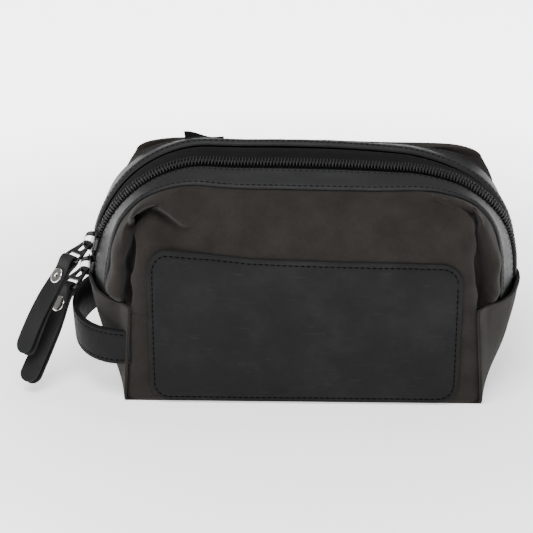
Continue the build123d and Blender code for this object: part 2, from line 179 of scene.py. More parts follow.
def face_outwards(obj):
    """Turns the faces so that most normals look away from the bag's middle."""
    mesh = obj.data
    middle = np.array([0, 0, 60.0]) * MM
    vote = sum((np.array(p.center) - middle) @ np.array(p.normal) * p.area for p in mesh.polygons)
    if vote < 0:
        mesh.flip_normals()
        mesh.update()


def modifier(obj, kind, **settings):
    mod = obj.modifiers.new(kind.title(), kind)
    for key, value in settings.items():
        setattr(mod, key, value)
    return mod


def finish_piece(obj, body, material, nodes=(), thick=0.0, subdivide=0, offset=-1.0):
    """Puts on the material and modifiers, ties the piece to its CAD body, and hides the CAD nodes it replaces."""
    obj.data.materials.clear()
    obj.data.materials.append(material)
    if subdivide:
        modifier(obj, "SUBSURF", levels=subdivide, render_levels=subdivide)
    if thick:
        modifier(obj, "SOLIDIFY", thickness=thick * MM, offset=offset)
    if body:
        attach(obj, body)
    if nodes:
        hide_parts(*nodes)
    return obj


# ------------------------------------------------------------------ the arch of the zip
def smooth_table(places, values, reach=9.0):
    """A finely sampled, smoothed curve through a few (place, value) knots along the arch."""
    fine = np.linspace(-20, LENGTH + 20, 800)
    raw = np.interp(fine, places, values)
    step = fine[1] - fine[0]
    kernel = np.exp(-((np.arange(-40, 41) * step / reach) ** 2))
    padded = np.concatenate([np.full(40, raw[0]), raw, np.full(40, raw[-1])])
    return fine, np.convolve(padded, kernel / kernel.sum(), "valid")


# how far the soft arch sinks (negative) or swells against its drawn line
SOFT_S, SOFT_OUT = smooth_table([105, 127, 168, 205, 226, 243, 264, 277, 289, 299, 313, 325, 336],
                                [0, -2.4, -3.4, -3.7, -3.7, -3.3, -0.6, 0.7, 1.8, 2.0, 0.5, -0.6, -0.8])


def arch(s):
    """Place (x, z) and outward direction at a distance along the arch from its left foot."""
    s = np.asarray(s, float)
    m = np.minimum(s, LENGTH - s)
    phi = np.clip((m - LEN_END) / SHOULDER, 0, None)
    theta = -CROWN_END + (m - LEN_END - LEN_SHOULDER) / CROWN
    on_end, on_shoulder = m < LEN_END, m < LEN_END + LEN_SHOULDER
    x = np.where(on_end, -HALF, np.where(on_shoulder, -REACH - SHOULDER * np.cos(phi), CROWN * np.sin(theta)))
    z = np.where(on_end, SEAM_Z + m, np.where(on_shoulder, CENTRE_Z + SHOULDER * np.sin(phi),
                                              TOP - CROWN + CROWN * np.cos(theta)))
    nx = np.where(on_end, -1.0, np.where(on_shoulder, -np.cos(phi), np.sin(theta)))
    nz = np.where(on_end, 0.0, np.where(on_shoulder, np.sin(phi), np.cos(theta)))
    side = np.where(s > LENGTH / 2, -1.0, 1.0)
    soft = np.interp(s, SOFT_S, SOFT_OUT)
    return (x + nx * soft) * side, z + nz * soft, nx * side, nz


LEAN_S, LEAN = smooth_table(
    [0, 13, 26, 39, 50, 59, 69, 81, 91, 125, 168, 205, 224, 246, 256, 264, 271, 278, 288, 298, 315, 333],
    [23, 22, 20, 12, 4.5, 0.5, -1.5, -1.5, 0.5, 6, 7, 5.5, 2, -3, -3.5, -5, -4, -1.5, 5.5, 14, 21, 22],
    reach=5.0,
)


def lean(s):
    """The front band's lean in radians: forwards most at the ends, and backwards over the shoulders."""
    return np.radians(np.interp(s, LEAN_S, LEAN))


BREAK = -6.0  # the band's own lean starts in front of this line


def zip_point(s, a, o):
    """A point at distance s along the arch, a across from the chain's middle (front negative) and o above the tape."""
    s, a, o = np.broadcast_arrays(np.asarray(s, float), np.asarray(a, float), np.asarray(o, float))
    x, z, nx, nz = arch(s)
    tilt = lean(s)
    front = a < BREAK
    near = np.where(front, BREAK, a)
    far = np.where(front, a - BREAK, 0.0)
    t = np.where(front, tilt, TILT)
    y = near * math.cos(TILT) + far * np.cos(tilt) - o * np.sin(t)
    out = near * math.sin(TILT) + far * np.sin(tilt) + o * np.cos(t)
    return np.stack([x + nx * out, y, z + nz * out], -1)


# how far the back band stands out from the arch at its front ridge and at its rear edge
RIDGE_S, RIDGE_OUT = smooth_table([0, 20, 45, 65, 85, 105, 125, 168, 205, 226, 243, 264, 277, 289, 310, 336],
                                  [2.6, 3.4, 4.4, 5.8, 6.6, 7.0, 7.4, 7.6, 7.0, 6.2, 4.6, 3.2, 3.0, 2.4, 2.0, 2.2])
REAR_S, REAR_OUT = smooth_table([0, 20, 45, 60, 75, 95, 120, 168, 205, 226, 243, 264, 277, 289, 310, 336],
                                [-3.0, 0.5, 4.2, 4.6, 4.4, 2.4, 1.0, 1.4, 1.4, 1.6, 1.0, 3.4, 3.0, 1.4, -2.0, -3.0])


def back_point(s, b, o):
    """A point of the back band: b from 0 at its front edge to 1 at its rear edge, o above its underside."""
    s, b, o = np.broadcast_arrays(np.asarray(s, float), np.asarray(b, float), np.asarray(o, float))
    x, z, nx, nz = arch(s)
    y = BACK_EDGE + BACK_WIDTH * b
    ridge = np.interp(s, RIDGE_S, RIDGE_OUT)
    rear = np.interp(s, REAR_S, REAR_OUT)
    rolled = 1.1 * (np.sin(np.clip(b / 0.16, 0, 1) * math.pi / 2) - 1)
    out = ridge + rolled + (rear - ridge) * ease((b - 0.05) / 0.95) ** 1.1
    return np.stack([x + nx * (out + o), y + 0.25 * o * b, z + nz * (out + o)], -1)


# ------------------------------------------------------------------ materials
def shader(name, base, rough, metallic=0.0, specular=0.5, sheen=0.0, coat=0.0):
    mat = bpy.data.materials.new(name)
    mat.use_nodes = True
    tree = mat.node_tree
    bsdf = tree.nodes["Principled BSDF"]
    bsdf.inputs["Base Color"].default_value = (*base, 1)
    bsdf.inputs["Roughness"].default_value = rough
    bsdf.inputs["Metallic"].default_value = metallic
    bsdf.inputs["Specular IOR Level"].default_value = specular
    if sheen:
        bsdf.inputs["Sheen Weight"].default_value = sheen
        bsdf.inputs["Sheen Roughness"].default_value = 0.5
    if coat:
        bsdf.inputs["Coat Weight"].default_value = coat
        bsdf.inputs["Coat Roughness"].default_value = 0.25
    return mat, tree, bsdf


def node(tree, kind, **settings):
    made = tree.nodes.new(kind)
    for key, value in settings.items():
        if key in made.inputs:
            made.inputs[key].default_value = value
        else:
            setattr(made, key, value)
    return made


def coords(tree, output="Object", scale=(1000, 1000, 1000), rotation=(0, 0, 0)):
    """Texture coordinates in millimetres."""
    source = node(tree, "ShaderNodeTexCoord")
    mapping = node(tree, "ShaderNodeMapping")
    mapping.inputs["Scale"].default_value = scale
    mapping.inputs["Rotation"].default_value = rotation
    tree.links.new(source.outputs[output], mapping.inputs["Vector"])
    return mapping.outputs["Vector"]


def noise_tex(tree, vector, size, detail=3.0, rough=0.55):
    tex = node(tree, "ShaderNodeTexNoise", Scale=1.0 / size, Detail=detail, Roughness=rough)
    tree.links.new(vector, tex.inputs["Vector"])
    return tex.outputs["Fac"]


def spread(tree, value, low, high, to_low, to_high, **settings):
    """Maps a value's range to another one."""
    made = node(tree, "ShaderNodeMapRange", **settings)
    for key, number in (("From Min", low), ("From Max", high), ("To Min", to_low), ("To Max", to_high)):
        made.inputs[key].default_value = number
    tree.links.new(value, made.inputs["Value"])
    return made.outputs["Result"]


def math_node(tree, operation, a, b):
    made = node(tree, "ShaderNodeMath", operation=operation)
    for socket, value in zip(made.inputs, (a, b)):
        if isinstance(value, (int, float)):
            socket.default_value = value
        else:
            tree.links.new(value, socket)
    return made.outputs[0]


def ramp(tree, value, stops):
    made = node(tree, "ShaderNodeValToRGB")
    elements = made.color_ramp.elements
    while len(elements) < len(stops):
        elements.new(0.5)
    for element, (place, colour) in zip(elements, stops):
        element.position = place
        element.color = (*colour, 1)
    tree.links.new(value, made.inputs["Fac"])
    return made.outputs["Color"]


def bump(tree, bsdf, height, strength, distance=0.0002, after=None):
    made = node(tree, "ShaderNodeBump", Strength=strength, Distance=distance)
    tree.links.new(height, made.inputs["Height"])
    if after is not None:
        tree.links.new(after, made.inputs["Normal"])
    tree.links.new(made.outputs["Normal"], bsdf.inputs["Normal"])
    return made.outputs["Normal"]


def weave(tree, vector, pitch):
    """Height of a plain weave: crossed sine ridges, each thread passing over and under in turn."""
    split = node(tree, "ShaderNodeSeparateXYZ")
    tree.links.new(vector, split.inputs[0])
    turn = 2 * math.pi / pitch
    u = math_node(tree, "SINE", math_node(tree, "MULTIPLY", split.outputs[0], turn), 0.0)
    v = math_node(tree, "SINE", math_node(tree, "MULTIPLY", split.outputs[1], turn), 0.0)
    return math_node(tree, "MULTIPLY", u, v)


def tint(colour, factor):
    return tuple(min(1.0, c * factor) for c in colour)


def cloth_material(name, colour, pitch, rough=0.92, sheen=0.08, mottle=0.24, bump_strength=0.5, mix=0.12):
    mat, tree, bsdf = shader(name, colour, rough, specular=0.05, sheen=sheen)
    uv = coords(tree, "UV")
    obj = coords(tree)
    threads = weave(tree, uv, pitch)
    slub = noise_tex(tree, uv, 1.3, 4.0, 0.7)
    patches = noise_tex(tree, obj, 16.0, 4.0, 0.62)
    fine = math_node(tree, "ADD", spread(tree, threads, -1, 1, -mix, mix), spread(tree, slub, 0.3, 0.7, -0.15, 0.15))
    shade = math_node(tree, "ADD", spread(tree, patches, 0.3, 0.7, -mottle, mottle), fine)
    tone = spread(tree, shade, -0.4, 0.4, 0.0, 1.0)
    tree.links.new(ramp(tree, tone, [(0.0, tint(colour, 0.62)), (0.5, colour), (1.0, tint(colour, 1.42))]),
                   bsdf.inputs["Base Color"])
    first = bump(tree, bsdf, threads, bump_strength, 0.00012)
    bump(tree, bsdf, slub, 0.35, 0.00018, first)
    tree.links.new(spread(tree, slub, 0.3, 0.7, rough - 0.06, min(1.0, rough + 0.06)), bsdf.inputs["Roughness"])
    return mat


def leather_material(name, colour, rough=0.5, grain=0.75, scuff=0.3, specular=0.22):
    mat, tree, bsdf = shader(name, colour, rough, specular=specular)
    obj = coords(tree)
    pebble = node(tree, "ShaderNodeTexVoronoi", feature="SMOOTH_F1", Scale=1.0 / grain)
    tree.links.new(obj, pebble.inputs["Vector"])
    wrinkle = noise_tex(tree, obj, 3.2, 5.0, 0.6)
    cloud = noise_tex(tree, obj, 22.0, 3.0, 0.55)
    streaks = noise_tex(tree, coords(tree, scale=(130, 900, 900), rotation=(0, 0.5, 0)), 1.4, 5.0, 0.65)
    worn = spread(tree, streaks, 0.60, 0.74, 0.0, scuff)
    tone = math_node(tree, "ADD", spread(tree, cloud, 0.3, 0.7, 0.34, 0.66), worn)
    tree.links.new(ramp(tree, tone, [(0.0, tint(colour, 0.6)), (0.5, colour), (1.0, tint(colour, 1.9))]),
                   bsdf.inputs["Base Color"])
    tree.links.new(spread(tree, math_node(tree, "ADD", wrinkle, worn), 0.3, 0.9, rough - 0.07, rough + 0.13),
                   bsdf.inputs["Roughness"])
    first = bump(tree, bsdf, pebble.outputs["Distance"], 0.22, 0.00016)
    bump(tree, bsdf, wrinkle, 0.28, 0.0004, first)
    return mat


def plain_grain(name, colour, rough, metallic, size=0.6, strength=0.12, specular=0.5, vary=0.35, coat=0.0):
    mat, tree, bsdf = shader(name, colour, rough, metallic, specular, coat=coat)
    obj = coords(tree)
    fine = noise_tex(tree, obj, size, 4.0, 0.6)
    broad = noise_tex(tree, obj, size * 9, 3.0, 0.5)
    tree.links.new(ramp(tree, broad, [(0.25, tint(colour, 1 - vary)), (0.75, tint(colour, 1 + vary))]),
                   bsdf.inputs["Base Color"])
    tree.links.new(spread(tree, broad, 0.3, 0.7, max(0.03, rough - 0.08), rough + 0.1), bsdf.inputs["Roughness"])
    bump(tree, bsdf, fine, strength, 0.0001)
    return mat


CANVAS_COLOUR = (0.0174, 0.0152, 0.0134)
LEATHER_COLOUR = (0.0135, 0.0136, 0.0142)
canvas = cloth_material("waxed_canvas", CANVAS_COLOUR, 0.9)
lining_cloth = cloth_material("lining_cloth", (0.014, 0.014, 0.015), 0.5, 0.8, 0.05, 0.1)
leather = leather_material("dark_leather", tint(LEATHER_COLOUR, 0.95), 0.52, specular=0.14)
handle_leather = leather_material("handle_leather", tint(LEATHER_COLOUR, 0.62), 0.6, 0.8, 0.35, 0.07)
patch_leather = leather_material("patch_leather", tint(LEATHER_COLOUR, 0.8), 0.6, 0.7, 0.45, 0.06)
strap_leather = leather_material("strap_leather", tint(LEATHER_COLOUR, 0.9), 0.58, 0.9, 0.3, 0.14)
thread_mat = plain_grain("black_thread", (0.0016, 0.0016, 0.0018), 0.9, 0.0, 0.25, 0.5, 0.03)
tape_mat = cloth_material("zip_tape_cloth", (0.0075, 0.0075, 0.0078), 1.1, 0.85, 0.05, 0.1, 0.6, 0.2)
coil_mat = plain_grain("nylon_coil", (0.0045, 0.0045, 0.0048), 0.45, 0.0, 0.5, 0.1, 0.3)
black_metal = plain_grain("black_plated_metal", (0.0045, 0.0045, 0.005), 0.26, 0.0, 0.8, 0.08, 0.5, coat=0.15)
nickel = plain_grain("nickel", (0.74, 0.72, 0.68), 0.2, 1.0, 1.2, 0.05, vary=0.08)
label_mat = cloth_material("label_weave", (0.007, 0.007, 0.0075), 0.8, 0.75, 0.1, 0.1, 0.5, 0.3)

# ------------------------------------------------------------------ camera, lights and stage
TARGET = Vector((-0.0225, 0.0028, 0.0632))
camera = bpy.data.objects.new("camera", bpy.data.cameras.new("camera"))
bpy.context.scene.collection.objects.link(camera)
CAMERA_AWAY, CAMERA_RISE = 1.1, math.radians(24)
camera.location = Vector((0.0, 0.0, 0.057)) + CAMERA_AWAY * Vector((0, -math.cos(CAMERA_RISE), math.sin(CAMERA_RISE)))
camera.rotation_euler = (TARGET - camera.location).to_track_quat("-Z", "Y").to_euler()
camera.data.lens = 123.8
camera.data.clip_start = 0.05
bpy.context.scene.camera = camera


def area_light(name, place, aim, size, power):
    data = bpy.data.lights.new(name, "AREA")
    data.shape = "RECTANGLE"
    data.size, data.size_y = size
    data.energy = power
    lamp = bpy.data.objects.new(name, data)
    bpy.context.scene.collection.objects.link(lamp)
    lamp.location = place
    lamp.rotation_euler = (Vector(aim) - Vector(place)).to_track_quat("-Z", "Y").to_euler()


area_light("key_softbox", (-0.25, -0.55, 1.25), (0, 0, 0.06), (0.9, 0.6), 22)
area_light("top_softbox", (0.1, 0.5, 1.2), (0, 0, 0.1), (1.4, 0.6), 8)
area_light("left_softbox", (-1.3, -0.5, 0.55), (0, 0, 0.06), (0.6, 0.9), 1.5)
area_light("right_softbox", (1.3, -0.55, 0.6), (0, 0, 0.06), (0.6, 0.9), 1.2)
area_light("front_fill", (0.0, -1.7, 0.55), (0, 0, 0.05), (1.2, 0.5), 2.5)
world = bpy.data.worlds.new("studio")
bpy.context.scene.world = world
world.use_nodes = True
world.node_tree.nodes["Background"].inputs["Color"].default_value = (1, 1, 1, 1)
world.node_tree.nodes["Background"].inputs["Strength"].default_value = 0.25

floor_mat, floor_tree, floor_bsdf = shader("pale_floor", (0.93, 0.93, 0.93), 0.9, specular=0.0)
floor_bsdf.inputs["Emission Color"].default_value = (1, 1, 1, 1)
# Floor glow: even emission far out, dimmed towards the bag's middle (1 within 120 mm, 4 beyond 560 mm), a painted soft
# contact shadow round the bag
away = node(floor_tree, "ShaderNodeVectorMath", operation="LENGTH")
floor_tree.links.new(coords(floor_tree), away.inputs[0])
glow_dimmed_by_painted_shadow = spread(floor_tree, away.outputs["Value"], 120.0, 560.0, 1.0, 4.0, interpolation_type="SMOOTHSTEP")
floor_tree.links.new(glow_dimmed_by_painted_shadow, floor_bsdf.inputs["Emission Strength"])
floor_noise = noise_tex(floor_tree, coords(floor_tree), 400.0)
floor_tree.links.new(ramp(floor_tree, floor_noise, [(0.3, (0.92, 0.92, 0.92)), (0.7, (0.94, 0.94, 0.94))]),
                     floor_bsdf.inputs["Base Color"])
FLOOR_REACH, FLOOR_Z = 6000.0, -0.15
floor_points = np.array([[[x, y, FLOOR_Z] for y in (-FLOOR_REACH, FLOOR_REACH)] for x in (-FLOOR_REACH, FLOOR_REACH)])
floor = grid_object("studio_floor", floor_points)
floor.data.materials.append(floor_mat)


# ------------------------------------------------------------------ canvas walls
def edge_half(z, side=-1):
    """Half width of the front and back walls at a height."""
    if side > 0:
        return np.interp(z, [0, 20, SEAM_Z, 85, 103, 112, 120, 127],
                         [BASE_LENGTH, 103.2, 101.5, 110.5, 112.0, 108.2, 103.6, 99.0])
    return np.interp(z, [0, 20, SEAM_Z, 72, 78, 90, 105, 127],
                     [BASE_LENGTH, 103.2, 100.0, 98.2, 98.4, 97.0, 96.4, 96.4])


def wall_depth(x, z, side):
    """How far forwards (or backwards) of the bag's middle a wall stands."""
    if side < 0:
        depth = np.interp(z, [0, 8, 30, 60, 80, 95, 105, 113, 120, 127],
                          [BASE_DEPTH, 52.0, 53.4, 54.0, 53.0, 50.4, 47.4, 43.8, 39.6, 34.5])
    else:
        depth = np.interp(z, [0, 8, 30, 60, 90, 108, 118, 124, 128],
                          [BASE_DEPTH, 52.0, 53.0, 53.4, 53.0, 52.2, 51.4, 50.0, 47.5])
    across = np.clip(np.abs(x) / edge_half(z, side), 0, 1.2)
    middle = 0.9 * np.sin(np.clip(z / 118, 0, 1) * math.pi) * (1 - across**2)
    rounding = 3.6 * np.clip((across - 0.91) / 0.09, 0, 1.4) ** 2.4
    return depth + middle - rounding


def wall_y(x, z, side):
    """The wall's surface, with the slow unevenness of soft canvas."""
    fade = ease(z / 12) * ease((1.02 - np.abs(x) / edge_half(z, side)) / 0.12 + 0.25)
    soft = 0.9 * wobble(x, 0, z, 42.0, 3.1 + side) + 0.35 * wobble(x, 0, z, 15.0, 7.7 + side)
    return side * (wall_depth(x, z, side) + soft * fade)


CORNER_STEPS = 8
CORNER_SHARE = 0.28  # the share of a wall's edge up to its upper left corner


def outline(side, share):
    """The wall's edge, by share of the way round from its left side seam to its right one: x, z, and how much
    of the edge is upright (1) rather than running over the top (0)."""
    top_left, top_right = (112.5, 117.0) if side < 0 else (124.6, 122.6)
    radius = 8.0 if side < 0 else 3.5
    xs, zs, up = [], [], []
    for z in np.linspace(SEAM_Z, top_left - radius, 14):
        xs.append(-float(edge_half(z, side)))
        zs.append(z)
        up.append(1.0)
    for k in range(1, CORNER_STEPS + 1):
        turn = k / CORNER_STEPS * math.pi / 2
        half = float(edge_half(top_left - radius, side)) - radius
        xs.append(-half - radius * math.cos(turn))
        zs.append(top_left - radius + radius * math.sin(turn))
        up.append(1 - k / CORNER_STEPS)
    wider = 3.0 if side > 0 else 0.0
    half_left, half_right = xs[-1], float(edge_half(top_right - radius, side)) - radius + wider
    for k in range(1, 30):
        t = k / 30
        xs.append(half_left + t * (half_right - half_left))
        zs.append(top_left + t * (top_right - top_left) + (1.5 if side < 0 else 0.2) * math.sin(math.pi * t))
        up.append(0.0)
    for k in range(CORNER_STEPS + 1):
        turn = math.pi / 2 * (1 - k / CORNER_STEPS)
        xs.append(half_right + radius * math.cos(turn))
        zs.append(top_right - radius + radius * math.sin(turn))
        up.append(k / CORNER_STEPS)
    for z in np.linspace(top_right - radius, SEAM_Z, 15)[1:]:
        xs.append(float(edge_half(z, side)) + wider * ease((z - 60.0) / 45.0))
        zs.append(z)
        up.append(1.0)
    xs, zs, up = map(np.array, (xs, zs, up))
    if side < 0:
        sway = 1.0 * np.sin(zs * 0.2 + np.where(xs > 0, 0.4, 2.2)) + 0.4 * np.sin(zs * 0.47)
        xs = xs + sway * ease((zs - 58.0) / 10.0) * up
    lengths = np.concatenate([[0], np.cumsum(np.hypot(np.diff(xs), np.diff(zs)))])
    corner_l, corner_r = lengths[17], lengths[-18]
    at = np.interp(share, [0.0, CORNER_SHARE, 1 - CORNER_SHARE, 1.0], [0.0, corner_l, corner_r, lengths[-1]])
    return np.interp(at, lengths, xs), np.interp(at, lengths, zs), np.interp(at, lengths, up)


NS, NV = 221, 61  # points along the rim, and across it
SHARE = np.linspace(0, 1, NS)
LEFT_I = int(round(CORNER_SHARE * (NS - 1)))
RIGHT_I = NS - 1 - LEFT_I


def seam_line(side, share):
    """The arch seam where the canvas goes under a leather band."""
    s = share * LENGTH
    return zip_point(s, -30.2, 0.35) if side < 0 else back_point(s, 0.97, 0.3)


def rim(side):
    """The canvas between a wall's edge and the arch seam, as a grid (along, across, 3)."""
    ox, oz, upright = outline(side, SHARE)
    oy = wall_y(ox, oz, side)
    start = np.stack([ox, oy, oz], -1)
    end = seam_line(side, SHARE)
    sgn = np.sign(ox + 1e-9)
    up = ease(upright)[:, None]
    gather = np.interp(SHARE, [0, 0.05, 0.2, 0.3, 0.7, 0.8, 0.95, 1], [0.5, 1, 1, 0.3, 0.3, 1, 1, 0.5])[:, None]
    pull_x, pull_y = (24.0, 46.0) if side < 0 else (-8.0, 24.0)
    inward = np.stack([-sgn * pull_x, -side * pull_y * np.ones(NS), np.zeros(NS)], -1) * gather
    slope = (wall_y(ox, oz + 3, side) - wall_y(ox, oz - 3, side)) / 6
    over = np.stack([0 * ox, slope, np.ones(NS)], -1) * 15.0
    t0 = up * inward + (1 - up) * over
    s = SHARE * LENGTH
    _, _, nx, nz = arch(s)
    if side < 0:
        t = lean(s) + np.radians(4)
        t1 = np.stack([nx * np.sin(t), np.cos(t), nz * np.sin(t)], -1)
    else:
        t = np.radians(np.interp(np.minimum(SHARE, 1 - SHARE), [0, 0.15, 0.3, 0.5], [12, -10, -12, 6]))
        t1 = np.stack([nx * np.sin(t), -np.cos(t), nz * np.sin(t)], -1)
    t1 = t1 * (np.interp(upright, [0, 1], [16, 52 if side < 0 else 26])[:, None])
    v = np.linspace(0, 1, NV)[None, :, None]
    h00, h10 = 2 * v**3 - 3 * v**2 + 1, v**3 - 2 * v**2 + v
    h01, h11 = -2 * v**3 + 3 * v**2, v**3 - v**2
    return h00 * start[:, None] + h10 * t0[:, None] + h01 * end[:, None] + h11 * t1[:, None]


# each fold in plan, as (outwards, backwards) from the wall's edge to the seam, for the left and right corner
FOLD_OUT, FOLD_BACK = 14.6, 23.8
FOLDS = {
    -1: [(0, 0), (-2.5, 4.0), (-3.0, 10.0), (-1.5, 17.0), (1.5, 21.0), (4.2, 18.5), (4.7, 12.0), (4.5, 7.0),
         (6.2, 3.4), (9.8, 3.2), (13.2, 7.0), (15.2, 14.0), (FOLD_OUT, FOLD_BACK)],
    1: [(0, 0), (-2.2, 3.6), (-2.8, 9.5), (-1.6, 16.0), (1.2, 20.5), (4.0, 20.0), (6.0, 16.0), (8.0, 12.0),
        (10.8, 9.6), (13.4, 11.6), (15.0, 17.5), (FOLD_OUT, FOLD_BACK)],
}


def crease(points, side):
    """Folds beside the front's upright edges: a deep hollow against the edge and a roll beside the band."""
    if side > 0:
        return points
    out = points.copy()
    for corner, apex, fade in ((-1, 0.252, 0.026), (1, 0.256, 0.012)):
        along = SHARE if corner < 0 else 1 - SHARE
        knots = np.array(FOLDS[corner], float)
        run = run_length(knots)
        path = relax(resample(knots, run, np.linspace(0, run[-1], NV)), 3)
        for i in np.nonzero(along < apex)[0]:
            amount = float(ease((along[i] + 0.010) / 0.045) * ease((apex - along[i]) / fade))
            wall, seam = points[i, 0], points[i, -1]
            chord = seam - wall
            wave = 1.0 + 0.10 * math.sin(along[i] * 70.0 + corner)
            share = np.linspace(0, 1, NV)[:, None]
            straight = wall + share * chord
            fold = straight.copy()
            fold[:, 0] = wall[0] + path[:, 0] / FOLD_OUT * (corner * max(corner * chord[0], 5.0)) * wave
            fold[:, 1] = wall[1] + path[:, 1] / FOLD_BACK * chord[1]
            slip = (share[:, 0] ** 4) * (seam[0] - fold[-1, 0])
            fold[:, 0] += slip
            out[i] = (1 - amount) * out[i] + amount * fold
    return out


# the ridge over the slumped corner, seen from the front
RIDGE_X = [-106, -102.5, -97.5, -92.5, -88.5, -83, -76, -69, -63, -58, -52]
RIDGE_Z = [100, 107, 112.5, 118, 119.6, 118.8, 115, 110, 110.5, 115, 121]


def dent(points, side, hold=1.0):
    """The slumped upper left corner: a hollow under a curved ridge. hold fades it out towards the seam."""
    if side > 0:
        return points
    x, z = points[..., 0], points[..., 2]
    fine = np.linspace(-110, -40, 141)
    curve = np.interp(fine, RIDGE_X, RIDGE_Z)
    curve = np.convolve(np.pad(curve, 4, mode="edge"), np.ones(9) / 9, "valid")
    below = np.interp(x, fine, curve) - z
    along = ease((x + 104.0) / 6.0) * (1 - ease((x + 84) / 30.0))
    depth = along * 13.0 * ease(below / 3.6) * np.exp(-np.clip(below, 0, None) / 13.0)
    lip = (along + 0.25 * ease((x + 104) / 5)) * 2.0 * np.exp(-(((below + 1.8) / 2.4) ** 2)) * ease((-48 - x) / 12)
    wave = 1.6 * np.exp(-(((x + 60) / 8) ** 2 + ((z - 112) / 9) ** 2))
    wave -= np.exp(-(((x + 46) / 8) ** 2 + ((z - 110) / 10) ** 2))
    out = points.copy()
    out[..., 1] += (depth + wave - lip) * hold
    out[..., 2] -= 0.25 * depth * hold
    return out


def wall_grids(side):
    """The wall above the side seams, as a patch filling its outline, and the wall below them."""
    ox, oz, _ = outline(side, SHARE)
    columns, rows = RIGHT_I - LEFT_I + 1, LEFT_I + 1
    left = np.stack([ox[:rows], oz[:rows]], -1)
    right = np.stack([ox[RIGHT_I:][::-1], oz[RIGHT_I:][::-1]], -1)
    top = np.stack([ox[LEFT_I:RIGHT_I + 1], oz[LEFT_I:RIGHT_I + 1]], -1)
    u = np.linspace(0, 1, columns)[:, None, None]
    w = np.linspace(0, 1, rows)[None, :, None]
    bottom = left[0] + np.linspace(0, 1, columns)[:, None] * (right[0] - left[0])
    flat = (1 - w) * bottom[:, None] + w * top[:, None] + (1 - u) * left[None] + u * right[None]
    flat -= (1 - u) * (1 - w) * left[0] + u * (1 - w) * right[0] + (1 - u) * w * left[-1] + u * w * right[-1]
    upper = np.stack([flat[..., 0], wall_y(flat[..., 0], flat[..., 1], side), flat[..., 1]], -1)
    heights = np.concatenate([[0.15, 0.6, 1.4], np.linspace(3.0, SEAM_Z, 26)])
    x = np.linspace(-1, 1, columns)[:, None] * edge_half(heights, side)[None]
    z = np.broadcast_to(heights, x.shape)
    y = wall_y(x, z, side)
    tuck = np.clip(1 - heights / 2.2, 0, 1)[None] ** 2 * 1.6
    lower = np.stack([x * (1 - 0.006 * tuck), y - side * tuck, z], -1)
    return upper, lower


def wall_object(name, side):
    """One whole wall with its shoulders."""
    hold = ease((1 - np.linspace(0, 1, NV)) / 0.22)[None, :]
    band = dent(crease(rim(side), side), side, hold)
    upper, lower = wall_grids(side)
    upper = dent(upper, side)
    grids = [(band, False), (upper, True), (lower, True)]
    verts, faces, uvs, start = [], [], [], 0
    for grid, turn in grids:
        nu, nv = grid.shape[:2]
        faces += grid_faces(nu, nv, start=start, flip=turn == (side < 0))
        verts.append(grid.reshape(-1, 3))
        if grid is band:
            run = np.concatenate([np.zeros((nu, 1)), np.cumsum(np.linalg.norm(np.diff(grid, axis=1), axis=-1), 1)], 1)
            uv = np.stack([np.broadcast_to((SHARE * LENGTH)[:, None], run.shape), run], -1)
        else:
            uv = np.stack([grid[..., 0], grid[..., 2]], -1)
        uvs.append(uv.reshape(-1, 2))
        start += nu * nv
    obj = make_object(name, np.concatenate(verts), faces, np.concatenate(uvs))
    weld(obj, 0.02)
    return obj


def end_grid(corner):
    """A lower end of the bag, from the front wall's edge to the back wall's, and from the base to the side seam."""
    ys = np.concatenate([np.linspace(-1, -0.7, 12), np.linspace(-0.66, 0.66, 30), np.linspace(0.7, 1, 12)])
    heights = np.concatenate([[0.15, 0.6, 1.4], np.linspace(3.0, SEAM_Z + 2.0, 24), [SEAM_Z + 2.9]])
    w = np.clip(heights / (SEAM_Z + 2.0), 0, 1)[None, :]
    t = ys[:, None]
    base_x = BASE_LENGTH + 2.4 * (1 - t**2)
    seam = np.interp(np.abs(t), [0, 0.14, 0.45, 0.62, 0.85, 1.0], [1.0, 0.995, 0.80, 0.56, 0.17, 0.0])
    top_x = 100.4 + 27.4 * seam
    swell = 4.4 * np.sin(w * math.pi) ** 0.9 * (1 - t**2) ** 0.6 * (0.55 + 0.45 * w)
    x = base_x + (top_x - base_x) * w**0.92 + swell
    depth = 51.6 + 1.9 * np.sin(np.clip(w, 0, 1) * 1.9)
    y = t * depth
    z = np.broadcast_to(heights, x.shape) + w**8 * np.interp(t, [-1, -0.6, 0, 0.6, 1], [1.2, -1.4, 2.6, -1.4, 1.2])
    puffed = 0.9 * wobble(0 * x + corner * 50, y, z, 26.0, 1.3) * np.sin(w * math.pi) * (1 - t**4)
    lip = 0.9 * ease((heights - SEAM_Z + 2) / 2.5)[None] * (1 - 0.6 * t**2)
    x = x + puffed + lip
    near_base = np.clip(1 - heights / 2.2, 0, 1)[None] ** 2 * 1.6
    points = np.stack([corner * (x - near_base), y * (1 - 0.01 * near_base), z], -1)
    uv = np.stack([np.broadcast_to(y, x.shape), z], -1)
    return points, uv


def base_object():
    """The base, raised a little inside its edges."""
    xs, ys = np.linspace(-1, 1, 60), np.linspace(-1, 1, 30)
    u, v = np.meshgrid(xs, ys, indexing="ij")
    y = v * 50.6
    x = u * (104.2 + 2.2 * (1 - v**2))
    edge = np.maximum(np.abs(u), np.abs(v))
    z = 0.12 + 0.75 * ease((0.99 - edge) / 0.1) * (0.55 + 0.45 * wobble(x, y, 0, 30.0))
    return grid_object("base_canvas", np.stack([x, y, z], -1), np.stack([x, y], -1))


